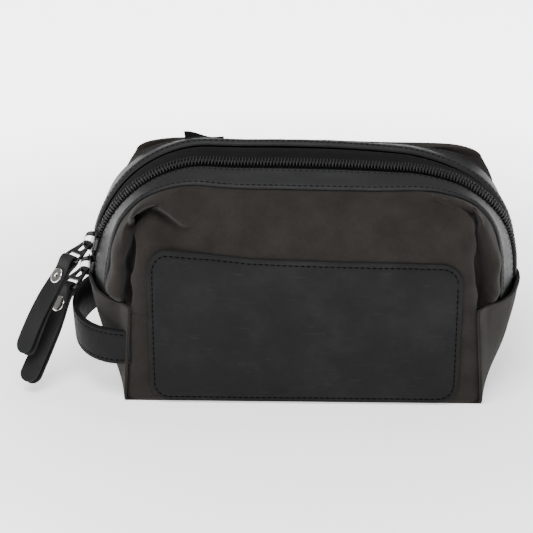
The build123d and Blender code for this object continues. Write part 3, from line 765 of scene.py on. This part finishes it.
for side, word in ((-1, "front"), (1, "back")):
    wall = wall_object(f"{word}_canvas", side)
    face_outwards(wall)
    finish_piece(wall, "bag", canvas, [f"{word}_panel"], thick=1.3, subdivide=1)
for corner, word in ((-1, "left"), (1, "right")):
    points, uv = end_grid(corner)
    end = grid_object(f"{word}_end_canvas", points, uv)
    face_outwards(end)
    finish_piece(end, "bag", canvas, [f"{word}_end_panel"], thick=1.5, subdivide=1)
base = base_object()
modifier(base, "SOLIDIFY", thickness=1.0 * MM, offset=-1.0)
base.data.flip_normals()
finish_piece(base, "bag", canvas, ["base_panel"])


# ------------------------------------------------------------------ lining, just inside the canvas
def lining_pieces():
    for side, word in ((-1, "front"), (1, "back")):
        upper, lower = wall_grids(side)
        for grid, part in ((rim(side), "shoulder"), (upper, "upper"), (lower, "lower")):
            inner = grid * np.array([0.90, 0.84 if side < 0 else 0.93, 0.93]) + np.array([0, 0, 1.6])
            uv = np.stack([inner[..., 0], inner[..., 2]], -1)
            obj = grid_object(f"{word}_lining_{part}", inner, uv)
            face_outwards(obj)
            finish_piece(obj, "bag", lining_cloth, [f"lining_{word}_panel"], thick=0.4)
    for corner, word in ((-1, "left"), (1, "right")):
        points, uv = end_grid(corner)
        inner = points * np.array([0.962, 0.95, 0.955]) + np.array([0, 0, 1.8])
        obj = grid_object(f"{word}_end_lining", inner, uv)
        face_outwards(obj)
        finish_piece(obj, "bag", lining_cloth, [f"lining_{word}_end_panel"], thick=0.4)
    xs, ys = np.meshgrid(np.linspace(-100, 100, 30), np.linspace(-48, 48, 16), indexing="ij")
    points = np.stack([xs, ys, 2.4 + 0.3 * wobble(xs, ys, 0, 25.0)], -1)
    obj = grid_object("base_lining", points, np.stack([xs, ys], -1))
    finish_piece(obj, "bag", lining_cloth, ["lining_base_panel"], thick=0.4)


lining_pieces()


# ------------------------------------------------------------------ leather bands and their stitches
BAND_S = np.linspace(-1.2, LENGTH + 1.2, 340)


def band_section(width):
    """A band's outline: (across from its inner edge, height) pairs round the strip, with a groove per stitch row."""
    loop = [(0.25, 0.0), (0.0, 0.5), (0.05, 1.3), (0.45, 1.85), (1.2, 2.0)]
    for x in np.linspace(1.9, width - 4.2, 16):
        groove = 0.42 * math.exp(-(((x - STITCH_INSET) / 0.55) ** 2))
        loop.append((x, 2.0 - groove + 0.10 * math.sin(math.pi * (x / width))))
    for x in np.linspace(width - 3.6, width - 1.8, 6):
        groove = 0.45 * math.exp(-(((x - (width - STITCH_INSET)) / 0.5) ** 2))
        loop.append((x, 2.05 - groove))
    loop += [(width - 1.3, 2.12), (width - 0.6, 1.9), (width - 0.1, 1.35), (width, 0.7), (width - 0.3, 0.1)]
    loop += [(width - 1.5, -0.25), (width * 0.6, -0.15), (width * 0.3, -0.1)]
    return np.array(loop)


def band_object(name, place, width, wave_seed):
    loop = band_section(width)
    s = BAND_S[:, None]
    edge_wave = 0.35 * wobble(BAND_S, 0, 0, 17.0, wave_seed) + 0.22 * wobble(BAND_S, 0, 0, 6.5, wave_seed + 4)
    lift = 0.16 * wobble(BAND_S, 0, 0, 11.0, wave_seed + 9)
    across = loop[None, :, 0] + edge_wave[:, None] * ease(loop[None, :, 0] / width) ** 2
    height = loop[None, :, 1] * (1 + 0.10 * lift[:, None]) + lift[:, None] * (loop[None, :, 0] / width) * 0.6
    points = place(np.broadcast_to(s, across.shape), across, height)
    uv = np.stack([np.broadcast_to(s, across.shape), across], -1)
    obj = grid_object(name, points, uv, wrap_v=True, caps=True)
    weld(obj, 0.001)
    return obj


def on_front_band(s, across, height):
    return zip_point(s, FRONT_BAND[1] - across, 0.3 + height)


def on_back_band(s, across, height):
    return back_point(s, across / BACK_WIDTH, 0.15 + height)


BANDS = (("front", on_front_band, FRONT_WIDTH, 2.0), ("back", on_back_band, BACK_WIDTH, 5.0))
for word, place, width, seed in BANDS:
    band = band_object(f"{word}_band_leather", place, width, seed)
    finish_piece(band, "bag", leather, [f"{word}_band"], subdivide=1)


def stitch(start, end, up, width=0.62, sink=0.16):
    """One stitch: a slim pill from start to end, dipping into the leather at both ends."""
    start, end, up = (np.asarray(p, float) for p in (start, end, up))
    along = end - start
    sideways = np.cross(along, up)
    sideways /= np.linalg.norm(sideways)
    up = up / np.linalg.norm(up)
    verts, around = [], 7
    stations = [(0.0, 0.25, -0.25), (0.14, 0.8, 0.02), (0.5, 1.0, 0.14), (0.86, 0.8, 0.02), (1.0, 0.25, -0.25)]
    for t, size, rise in stations:
        middle = start + t * along + up * (rise - sink + width * 0.3)
        for k in range(around):
            turn = 2 * math.pi * k / around
            verts.append(middle + size * width / 2 * (math.cos(turn) * sideways + 0.85 * math.sin(turn) * up))
    return verts, grid_faces(len(stations), around, wrap_v=True) + end_caps(len(stations), around)


def stitch_row(line, ups, pitch=STITCH_PITCH, share=0.74):
    """Stitches along a densely sampled line, with the surface's outward direction at each sample."""
    line, ups = np.asarray(line, float), np.asarray(ups, float)
    run = run_length(line)
    parts = []
    for k in range(int(run[-1] // pitch)):
        ends = [(k + 0.5 - share / 2) * pitch, (k + 0.5 + share / 2) * pitch]
        parts.append(stitch(*resample(line, run, ends), resample(ups, run, sum(ends) / 2)))
    return parts


def band_rows(place, width):
    """The stitches along both edges of a band."""
    parts = []
    s = np.linspace(2.5, LENGTH - 2.5, 700)
    for c in (STITCH_INSET, width - STITCH_INSET):
        line = place(s, np.full_like(s, c), np.full_like(s, 1.72))
        above = place(s, np.full_like(s, c), np.full_like(s, 2.72))
        parts += stitch_row(line, above - line)
    return parts


for word, place, width, _ in BANDS:
    rows = joined(f"{word}_band_stitches", band_rows(place, width))
    finish_piece(rows, "bag", thread_mat, [f"{word}_band_thread"])

# ------------------------------------------------------------------ zip tape and coil
tape_s = np.linspace(0.0, LENGTH, 300)[:, None]
for word, low, high in (("front", -14.0, -0.4), ("back", 0.4, 13.4)):
    across = np.linspace(low, high, 16)[None, :]
    sag = -0.5 * np.sin(np.clip((np.abs(across) - 4.6) / 8.0, 0, 1) * math.pi) * (1 + 0.4 * wobble(tape_s, 0, 0, 30.0))
    to_band = np.clip(np.interp(tape_s, RIDGE_S, RIDGE_OUT) - 4.4, -0.5, 3) * ease((across - 4.6) / 8.0)
    lift = 0.0 if word == "front" else to_band
    uv = np.stack(np.broadcast_arrays(tape_s, across), -1)
    points = zip_point(uv[..., 0], uv[..., 1], 0.3 + sag + lift)
    tape = grid_object(f"{word}_tape_cloth", points, uv)
    face_outwards(tape)
    finish_piece(tape, "bag", tape_mat, [f"{word}_zip_tape"], thick=0.7)


def coil_object(name, side):
    """One half of the chain: a row of flattened turns of thick nylon thread, and its sewing cord."""
    pitch, around, steps, thick = 1.9, 7, 16, 0.52
    parts = []
    for k in range(int((LENGTH - 2) / pitch)):
        s0 = 1.0 + (k + (0.5 if side > 0 else 0.0)) * pitch
        turn = np.linspace(0, 2 * math.pi, steps, endpoint=False)
        a = side * (1.85 - 2.35 * np.cos(turn) * (1 + 0.12 * np.cos(turn)))
        o = 1.75 + 1.12 * np.sin(turn)
        s = s0 + 0.30 * pitch * np.sin(turn / 2)
        centre = zip_point(s, a, o)
        ahead, behind = np.roll(centre, -1, 0), np.roll(centre, 1, 0)
        tangent = unit_rows(ahead - behind)
        u = unit_rows(np.cross(tangent, zip_point(s + 1.0, a, o) - centre))
        w = np.cross(u, tangent)
        ring = np.linspace(0, 2 * math.pi, around, endpoint=False)
        size = thick * (1 + 0.28 * np.exp(-(turn**2) / 0.2) + 0.28 * np.exp(-((turn - 2 * math.pi) ** 2) / 0.2))
        section = np.cos(ring)[None, :, None] * u[:, None] + np.sin(ring)[None, :, None] * w[:, None]
        verts = centre[:, None] + size[:, None, None] * section
        parts.append((verts.reshape(-1, 3), grid_faces(steps, around, wrap_u=True, wrap_v=True)))
    s = np.linspace(0.5, LENGTH - 0.5, 700)
    cord = np.full_like(s, side * 2.4)
    line, above = (zip_point(s, cord, np.full_like(s, height)) for height in (2.75, 3.75))
    parts += stitch_row(line, above - line, pitch=pitch, share=0.8)
    return joined(name, parts)


for word, side in (("front", -1), ("back", 1)):
    finish_piece(coil_object(f"{word}_coil_turns", side), "bag", coil_mat, [f"{word}_zip_coil"])

# ------------------------------------------------------------------ front patch
PATCH_LOW, PATCH_HIGH = CAD_LOW["front_patch"], CAD_HIGH["front_patch"]
PATCH_RADIUS, PATCH_STITCH = 12.0, 2.95


def rounded_ring(inset, corner=14, straight=(46, 20)):
    """Points of a rounded rectangle set in from the patch's outline."""
    r = PATCH_RADIUS - inset
    cx, cz = (PATCH_LOW[0] + PATCH_HIGH[0]) / 2, (PATCH_LOW[2] + PATCH_HIGH[2]) / 2
    hx = (PATCH_HIGH[0] - PATCH_LOW[0]) / 2 - inset - r
    hz = (PATCH_HIGH[2] - PATCH_LOW[2]) / 2 - inset - r
    corners = []
    for k, (sx, sz) in enumerate(((1, 1), (-1, 1), (-1, -1), (1, -1))):
        turn = np.linspace(0, math.pi / 2, corner) + k * math.pi / 2
        corners.append(np.stack([cx + sx * hx + r * np.cos(turn), cz + sz * hz + r * np.sin(turn)], -1))
    points = []
    for k, arc in enumerate(corners):
        points.append(arc)
        share = np.linspace(0, 1, straight[k % 2] + 2)[1:-1, None]
        points.append(arc[-1] + share * (corners[(k + 1) % 4][0] - arc[-1]))
    return np.concatenate(points)


def patch_place(points, height):
    """Lays flat patch points on the front wall, height above it. The top edge climbs a little to the left."""
    x, z = points[..., 0], points[..., 1]
    climb = np.interp(x, [-92, -80, -50, -31, 20, 86, 94], [5.0, 4.6, 2.2, -0.4, -1.4, -2.6, -2.8])
    z = z + climb * np.clip(z / PATCH_HIGH[2], 0, 1) ** 1.5
    z = z + 0.35 * wobble(x, 0, z, 24.0, 6.0) * np.clip(z / 20, 0, 1)
    return np.stack([x, wall_y(x, z, -1) - height, z], -1)


def patch_object():
    """The patch: rings of (inset, height) from its cut edge over the stitch groove, then a flat middle."""
    profile = [(0.25, -0.2), (0.0, 0.35), (0.05, 1.0), (0.4, 1.45), (1.0, 1.6), (2.2, 1.58), (2.75, 1.3),
               (PATCH_STITCH, 1.22), (3.15, 1.3), (3.7, 1.6), (5.0, 1.66), (7.0, 1.66), (9.5, 1.62), (11.2, 1.6)]
    rings = [patch_place(rounded_ring(inset), height) for inset, height in profile]
    inner = rounded_ring(profile[-1][0])
    middle = inner.mean(0)
    for share in np.linspace(1, 0, 26)[1:]:
        rings.append(patch_place(middle + (inner - middle) * share, 1.6))
    faces = grid_faces(len(rings), len(inner), wrap_v=True)
    obj = make_object("front_patch_leather", np.concatenate(rings), faces)
    weld(obj, 0.001)
    face_outwards(obj)
    return obj


patch = patch_object()
finish_piece(patch, "bag", patch_leather, ["front_patch"])
ring = rounded_ring(PATCH_STITCH)
ring = np.concatenate([ring, ring[:1]])
dense = resample(ring, np.arange(len(ring)), np.linspace(0, len(ring) - 1, 900))
line = patch_place(dense, 1.3)
rows = joined("front_patch_stitches", stitch_row(line, np.tile([0.0, -1.0, 0.0], (len(line), 1)), pitch=3.4))
finish_piece(rows, "bag", thread_mat, ["front_patch_thread"])

# ------------------------------------------------------------------ woven label
label_u = np.linspace(0, 1, 24)
label_v = np.linspace(0, 1, 15)
low, high = CAD_LOW["label_tab"], CAD_HIGH["label_tab"]
points = np.zeros((len(label_u), len(label_v), 3))
for i, u in enumerate(label_u):
    tall = 8.6 - 5.4 * ease((u - 0.02) / 0.75)
    for j, v in enumerate(label_v):
        fold = math.pi * v
        up = math.sin(fold)
        points[i, j] = (low[0] + u * (high[0] - low[0]) - 1.5 * (1 - u) * up,
                        (low[1] + high[1]) / 2 - 0.55 * math.cos(fold) + 2.2 * u * up + 0.6 * math.sin(3 * u) * up,
                        low[2] + 1.0 + 1.6 * u + tall * min(1.0, up * 1.15))
uv = np.stack(np.meshgrid(label_u * 22, label_v * 20, indexing="ij"), -1)
label = grid_object("label_cloth", points, uv)
finish_piece(label, "bag", label_mat, ["label_tab"], thick=0.35, subdivide=1, offset=0.0)


# ------------------------------------------------------------------ handle
def handle_path(inset, count=150):
    """The handle's line in plan, from the front seam round to the back one, set in from its outer face."""
    low, high = CAD_LOW["handle_outer_strap"], CAD_HIGH["handle_outer_strap"]
    out, side, start, knee = low[0], high[1], HANDLE_SEAM, -101.5
    turn = np.linspace(0, math.pi, 600)
    power = 0.97
    sine, cosine = np.sin(turn), np.cos(turn)
    curve = np.stack([knee + (out - knee) * np.abs(sine) ** power,
                      -side * np.sign(cosine) * np.abs(cosine) ** power], -1)
    legs = np.linspace(start, knee, 12)[:-1]
    leg_in, leg_out = (np.stack([xs, np.full(len(legs), y)], -1) for xs, y in ((legs, -side), (legs[::-1], side)))
    line = np.concatenate([leg_in, curve, leg_out])
    run = run_length(line)
    points = relax(resample(line, run, np.linspace(0, run[-1], count)), 4)
    tangent = unit_rows(np.gradient(points, axis=0))
    outs = np.stack([-tangent[:, 1], tangent[:, 0]], -1)
    return points - outs * inset, outs


def handle_place(points, outs, across, height):
    """A point of the strap: across from its middle (up is positive) and height above its outer face's line."""
    share = np.clip((HANDLE_SEAM - points[:, 0]) / 38.0, 0, 1)
    droop = -1.2 * ease(share)
    squeeze = 1.0 - 0.06 * (1 - ease(share * 3))
    lean_out = 0.06 * share
    x = points[:, 0] + outs[:, 0] * (height + lean_out * across)
    y = points[:, 1] + outs[:, 1] * (height + lean_out * across)
    return np.stack([x, y, HANDLE_Z + droop + across * squeeze], -1)


def handle_object(name, inset, thick, groove):
    plan, outs = handle_path(inset)
    half = HANDLE_W / 2
    loop = [(-half + 0.1, -thick), (-half, -thick / 2), (-half + 0.15, -0.2), (-half + 0.7, 0.0)]
    for c in np.linspace(-half + 1.4, half - 1.4, 25):
        dip = groove * sum(math.exp(-(((c - k * (half - STITCH_INSET)) / 0.5) ** 2)) for k in (-1, 1))
        loop.append((c, 0.12 * math.cos(c / half * 1.4) - dip))
    loop += [(half - 0.7, 0.0), (half - 0.15, -0.2), (half, -thick / 2), (half - 0.1, -thick), (0.0, -thick)]
    rings = np.stack([handle_place(plan, outs, c, h) for c, h in loop], 1)
    obj = grid_object(name, rings, wrap_v=True, caps=True)
    weld(obj, 0.001)
    return obj


for name, inset, thick, groove, nodes in (("handle_outer_leather", 0.0, 1.6, 0.35, ["handle_outer_strap"]),
                                          ("handle_inner_leather", 1.6, 1.4, 0.0, ["handle_inner_strap"])):
    strap = handle_object(name, inset, thick, groove)
    finish_piece(strap, None, handle_leather, nodes)
    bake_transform(strap)
plan, outs = handle_path(0.0, 400)
parts = []
for edge in (-1, 1):
    line = handle_place(plan, outs, edge * (HANDLE_W / 2 - STITCH_INSET), -0.22)
    parts += stitch_row(line, np.concatenate([outs, np.zeros((len(outs), 1))], 1))
rows = joined("handle_stitches", parts)
finish_piece(rows, None, thread_mat, ["handle_thread"])
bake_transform(rows)


# ------------------------------------------------------------------ sliders, tabs, straps and rivets
def frame_matrix(origin, x_dir, y_dir, z_dir):
    m = np.eye(4)
    m[:3, 0], m[:3, 1], m[:3, 2], m[:3, 3] = x_dir, y_dir, z_dir, origin
    return m


def unit(v):
    v = np.asarray(v, float)
    return v / np.linalg.norm(v)


def placed(matrix, verts):
    verts = np.asarray(verts, float)
    return verts @ matrix[:3, :3].T + matrix[:3, 3]


def slab(outline_points, layers):
    """A closed plate: the outline at each (height, inset), capped at both ends."""
    pts = np.asarray(outline_points, float)
    middle = pts.mean(0)
    reach = np.linalg.norm(pts - middle, axis=1)[:, None]
    n = len(pts)
    rings = [np.concatenate([middle + (pts - middle) * (1 - inset / reach), np.full((n, 1), h)], 1)
             for h, inset in layers]
    return np.concatenate(rings), grid_faces(len(layers), n, wrap_v=True) + end_caps(len(layers), n)


def bar(path, widths, thicks, wide_dir, around=12):
    """A bar swept along a path with a rounded oblong section, wide along wide_dir."""
    path = np.asarray(path, float)
    wide = np.tile(unit(wide_dir), (len(path), 1))
    out = unit_rows(np.cross(unit_rows(np.gradient(path, axis=0)), wide))
    ring = np.linspace(0, 2 * math.pi, around, endpoint=False)
    c = np.sign(np.cos(ring)) * np.abs(np.cos(ring)) ** 0.65
    d = np.sign(np.sin(ring)) * np.abs(np.sin(ring)) ** 0.65
    widths, thicks = np.broadcast_to(widths, len(path)), np.broadcast_to(thicks, len(path))
    verts = path[:, None] + (widths / 2)[:, None, None] * c[None, :, None] * wide[:, None]
    verts = verts + (thicks / 2)[:, None, None] * d[None, :, None] * out[:, None]
    return verts.reshape(-1, 3), grid_faces(len(path), around, wrap_v=True) + end_caps(len(path), around)


def slider_object(name, angle_degrees, head):
    """A slider at an angle round the left shoulder's arc: two wings, side rails, a bridge and a crown for the tab.
    head is +1 where its wider end is up the arc."""
    angle = math.radians(angle_degrees)
    outward = np.array([-math.cos(angle), 0, math.sin(angle)])
    along = np.array([math.sin(angle), 0, math.cos(angle)])
    out = outward * math.cos(TILT) - np.array([0, 1, 0]) * math.sin(TILT)
    across = np.cross(out, along)
    origin = np.array([-REACH, 0, CENTRE_Z]) + outward * SHOULDER
    place = frame_matrix(origin, along, across, out)
    outline_points = []
    half = 6.5
    for t in np.linspace(0, 2 * math.pi, 48, endpoint=False):
        x = half * np.sign(math.cos(t)) * abs(math.cos(t)) ** 0.55
        wide = 5.3 + 0.7 * ease(np.array((head * x + half) / (2 * half)))
        outline_points.append((x, float(wide) * np.sign(math.sin(t)) * abs(math.sin(t)) ** 0.55))
    parts = []
    for low, high in ((-2.35, -1.15), (3.6, 4.8)):
        layers = [(low, 0.45), (low + 0.2, 0.12), (low + 0.45, 0.0),
                  (high - 0.45, 0.0), (high - 0.2, 0.12), (high, 0.5)]
        v, f = slab(outline_points, layers)
        parts.append((placed(place, v), f))
    for side in (-1, 1):
        rail = [(x, side * (5.15 + 0.2 * head * x / half), 2.5) for x in np.linspace(-4.2, 4.2, 9)]
        v, f = bar(rail, 2.9, 0.9, (0, 0, 1))
        parts.append((placed(place, v), f))
    v, f = bar([(head * (half - x), 0, z) for x, z in ((1.7, -1.2), (1.7, 1.2), (1.7, 3.7))], 3.0, 0.6, (1, 0, 0), 8)
    parts.append((placed(place, v), f))
    crown = []
    for t in np.linspace(0, math.pi, 28):
        crown.append((4.72 * np.sign(math.cos(t)) * abs(math.cos(t)) ** 0.6, 0.0, 4.5 + 5.2 * math.sin(t) ** 0.62))
    width = 2.2 + 1.0 * np.abs(np.linspace(-1, 1, 28)) ** 3
    v, f = bar(crown, width, 1.6, (1, 0, 0), 14)
    parts.append((placed(place, v), f))
    return joined(name, parts)


def joint(name):
    return next(j for j in frame["joints"] if j["name"] == name)


def pull_frames(prefix):
    """Where a pull's tab and strap hang: matrices with x across, y down the piece and z out of its face."""
    tab_joint, strap_joint = joint(f"{prefix}_tab_swing"), joint(f"{prefix}_pull_swing")
    pivot, bar_at = np.array(tab_joint["pos_m"]) / MM, np.array(strap_joint["pos_m"]) / MM
    width = unit(tab_joint["axis"])
    tab_down = unit(bar_at - pivot)
    bend = -math.radians(25.0)
    turn = np.array(Matrix.Rotation(bend, 3, Vector(width)))
    strap_down = turn @ tab_down
    return (frame_matrix(pivot, width, tab_down, np.cross(width, tab_down)),
            frame_matrix(bar_at, width, strap_down, np.cross(width, strap_down)))


def rounded_box(cx, cy, w, h, r, n=8):
    """A closed 2-D loop: a rectangle with round corners."""
    pts = []
    for k, (sx, sy) in enumerate(((1, 1), (-1, 1), (-1, -1), (1, -1))):
        for t in np.linspace(0, math.pi / 2, n):
            turn = t + k * math.pi / 2
            pts.append((cx + sx * (w / 2 - r) + r * math.cos(turn), cy + sy * (h / 2 - r) + r * math.sin(turn)))
    return pts


def chaikin(points, rounds=3):
    """Cuts the corners of a closed outline, so that it is rounded."""
    pts = np.asarray(points, float)
    for _ in range(rounds):
        ahead = np.roll(pts, -1, 0)
        pts = np.stack([0.78 * pts + 0.22 * ahead, 0.22 * pts + 0.78 * ahead], 1).reshape(-1, 2)
    return pts


def plate_with_holes(name, matrix, loops, thickness, edge):
    """A flat plate with holes and rounded edges, from closed 2-D loops."""
    data = bpy.data.curves.new(name + "_curve", "CURVE")
    data.dimensions = "2D"
    data.fill_mode = "BOTH"
    data.extrude = thickness / 2 - edge
    data.bevel_depth = edge
    data.bevel_resolution = 2
    for loop in loops:
        spline = data.splines.new("POLY")
        spline.points.add(len(loop) - 1)
        for point, (x, y) in zip(spline.points, loop):
            point.co = (x, y, 0, 1)
        spline.use_cyclic_u = True
    holder = bpy.data.objects.new(name + "_curve", data)
    bpy.context.scene.collection.objects.link(holder)
    bpy.context.view_layer.update()
    mesh = bpy.data.meshes.new_from_object(holder.evaluated_get(bpy.context.evaluated_depsgraph_get()))
    bpy.data.objects.remove(holder)
    verts = placed(matrix, [v.co for v in mesh.vertices])
    obj = make_object(name, verts, [tuple(p.vertices) for p in mesh.polygons])
    weld(obj, 0.002)
    modifier(obj, "WEIGHTED_NORMAL")
    return obj


def tab_object(name, matrix):
    """A pull tab: a flared plate with an eye for the slider and a slot for the strap. e is its edge's roundness."""
    e = 0.3
    shape = [(-4.6, -1.3), (4.6, -1.3), (4.7, 3.0), (8.6, 10.5), (8.6, 16.3), (-8.6, 16.3), (-8.6, 10.5), (-4.7, 3.0)]
    shape = np.array(shape) * [1 - e / 8, 1.0]
    outer = chaikin(shape, 3)
    eye = rounded_box(0, 4.2, 5.8 + 2 * e, 6.4 + 2 * e - 0.3, 2.2)
    slot = rounded_box(0, 11.8, 12.8 + 2 * e, 4.4 + 2 * e - 0.2, 1.8)
    return plate_with_holes(name, matrix, [outer, eye, slot], 1.5, e)


def twist_at(twist, down):
    """How far a strap has turned, in radians, at a distance down it. twist is the whole turn in degrees."""
    return np.radians(twist) * ease((down - 2.0) / 26.0)


def strap_object(name, matrix, seed, twist, bow):
    """A strap folded round the tab's foot, with two loose tails and round ends."""
    length, pinch, loop_r, half_w, half_t = STRAP_LENGTH, 0.85, 2.6, 6.3, 0.8
    side_line = [(length, 2.2), (length * 0.75, 1.9), (length / 2, pinch + 0.5), (20.0, pinch + 0.05),
                 (RIVET_DOWN, pinch), (7.0, pinch + 0.1), (3.5, 1.9), (1.2, loop_r)]
    arc = [(loop_r * math.cos(t), loop_r * math.sin(t)) for t in np.linspace(math.radians(75), math.radians(285), 14)]
    line = np.array(side_line + arc + [(x, -y) for x, y in reversed(side_line)])
    run = run_length(line)
    tip, whole = 6.0, run[-1]
    d = np.concatenate([np.linspace(0, tip, 14), np.linspace(tip, whole - tip, 110)[1:-1],
                        np.linspace(whole - tip, whole, 14)])
    path = relax(resample(line, run, d), 3)
    tangent = unit_rows(np.gradient(path, axis=0))
    normal = np.stack([tangent[:, 1], -tangent[:, 0]], -1)
    end = np.minimum(d, whole - d)
    round_off = np.sqrt(np.clip(1 - (1 - np.clip(end / half_w, 0, 1)) ** 2, 0.004, 1))
    width = half_w * round_off
    half_loop = [(-1.0, -0.45), (-1.0, 0.45), (-0.95, 0.85)] + [(c, 1.0) for c in np.linspace(-0.85, 0.85, 9)]
    loop = half_loop + [(0.95, 0.85), (1.0, 0.45), (1.0, -0.45), (0.95, -0.85)]
    loop += [(c, -1.0) for c in np.linspace(0.85, -0.85, 9)] + [(-0.95, -0.85)]
    rings = np.zeros((len(d), len(loop), 3))
    for k, (c, h) in enumerate(loop):
        cup = 0.16 * (c**2) * ease(end / 20)
        rings[:, k, 0] = width * c
        rings[:, k, 1] = path[:, 0] + normal[:, 0] * half_t * h
        rings[:, k, 2] = path[:, 1] + normal[:, 1] * half_t * h
    edge = 0.12 * wobble(rings[..., 1], rings[..., 2], 0, 5.0, seed)
    rings[..., 0] += edge * np.sign(rings[..., 0])
    turn = twist_at(twist, rings[..., 1])
    x, z = rings[..., 0].copy(), rings[..., 2].copy()
    rings[..., 0], rings[..., 2] = x * np.cos(turn) + z * np.sin(turn), z * np.cos(turn) - x * np.sin(turn)
    rings[..., 2] += bow * np.sin(np.clip(rings[..., 1] / length, 0, 1) * math.pi)
    obj = grid_object(name, placed(matrix, rings.reshape(-1, 3)).reshape(rings.shape), wrap_v=True, caps=True)
    weld(obj, 0.001)
    return obj


def lathe(profile, matrix, around=36):
    """A turned piece about the local z axis, from (radius, height) pairs."""
    verts = []
    for r, h in profile:
        for k in range(around):
            turn = 2 * math.pi * k / around
            verts.append((r * math.cos(turn), r * math.sin(turn), h))
    return placed(matrix, verts), grid_faces(len(profile), around, wrap_v=True) + end_caps(len(profile), around)


def rivet_objects(prefix, strap_matrix, cap_side, twist, bow):
    """A rivet through the twisted strap: its domed cap and its eyelet. cap_side is +1 where the cap faces out."""
    turn = float(twist_at(twist, RIVET_DOWN))
    m = strap_matrix.copy()
    m[:3, 3] = placed(strap_matrix, [(0, RIVET_DOWN, bow * math.sin(RIVET_DOWN / STRAP_LENGTH * math.pi))])[0]
    m[:3, 2] = strap_matrix[:3, 2] * math.cos(turn) + strap_matrix[:3, 0] * math.sin(turn)
    m[:3, 2] = m[:3, 2] * cap_side
    m[:3, 0] = np.cross(m[:3, 1], m[:3, 2])
    face = 1.65
    dome = [(4.2, 0), (4.9, 0.08), (5.0, 0.3), (4.8, 0.62), (4.3, 0.82), (3.2, 0.95), (1.6, 1.0), (0.05, 1.02)]
    cap = joined(f"{prefix}_rivet_dome", [lathe([(r, face + h) for r, h in dome], m)])
    flange = [(0.9, 0.1), (1.1, 0.55), (1.6, 0.95), (2.4, 0.62), (3.2, 0.85), (4.2, 0.9), (4.7, 0.6), (4.8, 0.25),
              (4.4, 0), (1.5, 0)]
    ring = [(0.9, face)] + [(r, -face - h) for r, h in flange] + [(1.5, face), (0.9, face)]
    verts, faces = lathe(ring, m)
    post = joined(f"{prefix}_rivet_eyelet", [(verts, faces[:-2])])
    weld(post, 0.002)
    weld(cap, 0.002)
    return cap, post


# each pull: its slider's angle round the shoulder and which end is wide, its cap's side, and its strap's twist and bow
PULLS = (("upper", 16.0, -1, -1, -15.0, 2.4), ("lower", 3.6, 1, 1, -24.0, -0.6))
for prefix, angle, head, cap_side, twist, bow in PULLS:
    slider = slider_object(f"{prefix}_slider_cast", angle, head)
    finish_piece(slider, f"{prefix}_slider", black_metal, [f"{prefix}_slider"])
    tab_matrix, strap_matrix = pull_frames(prefix)
    tab = tab_object(f"{prefix}_tab_plate", tab_matrix)
    finish_piece(tab, f"{prefix}_tab", black_metal, [f"{prefix}_pull_tab"])
    strap = strap_object(f"{prefix}_strap_leather", strap_matrix, angle, twist, bow)
    finish_piece(strap, f"{prefix}_pull", strap_leather, [f"{prefix}_pull_strap"])
    cap, post = rivet_objects(prefix, strap_matrix, cap_side, twist, bow)
    finish_piece(cap, f"{prefix}_pull", nickel, [f"{prefix}_rivet_cap"])
    finish_piece(post, f"{prefix}_pull", nickel, [f"{prefix}_rivet_post"])
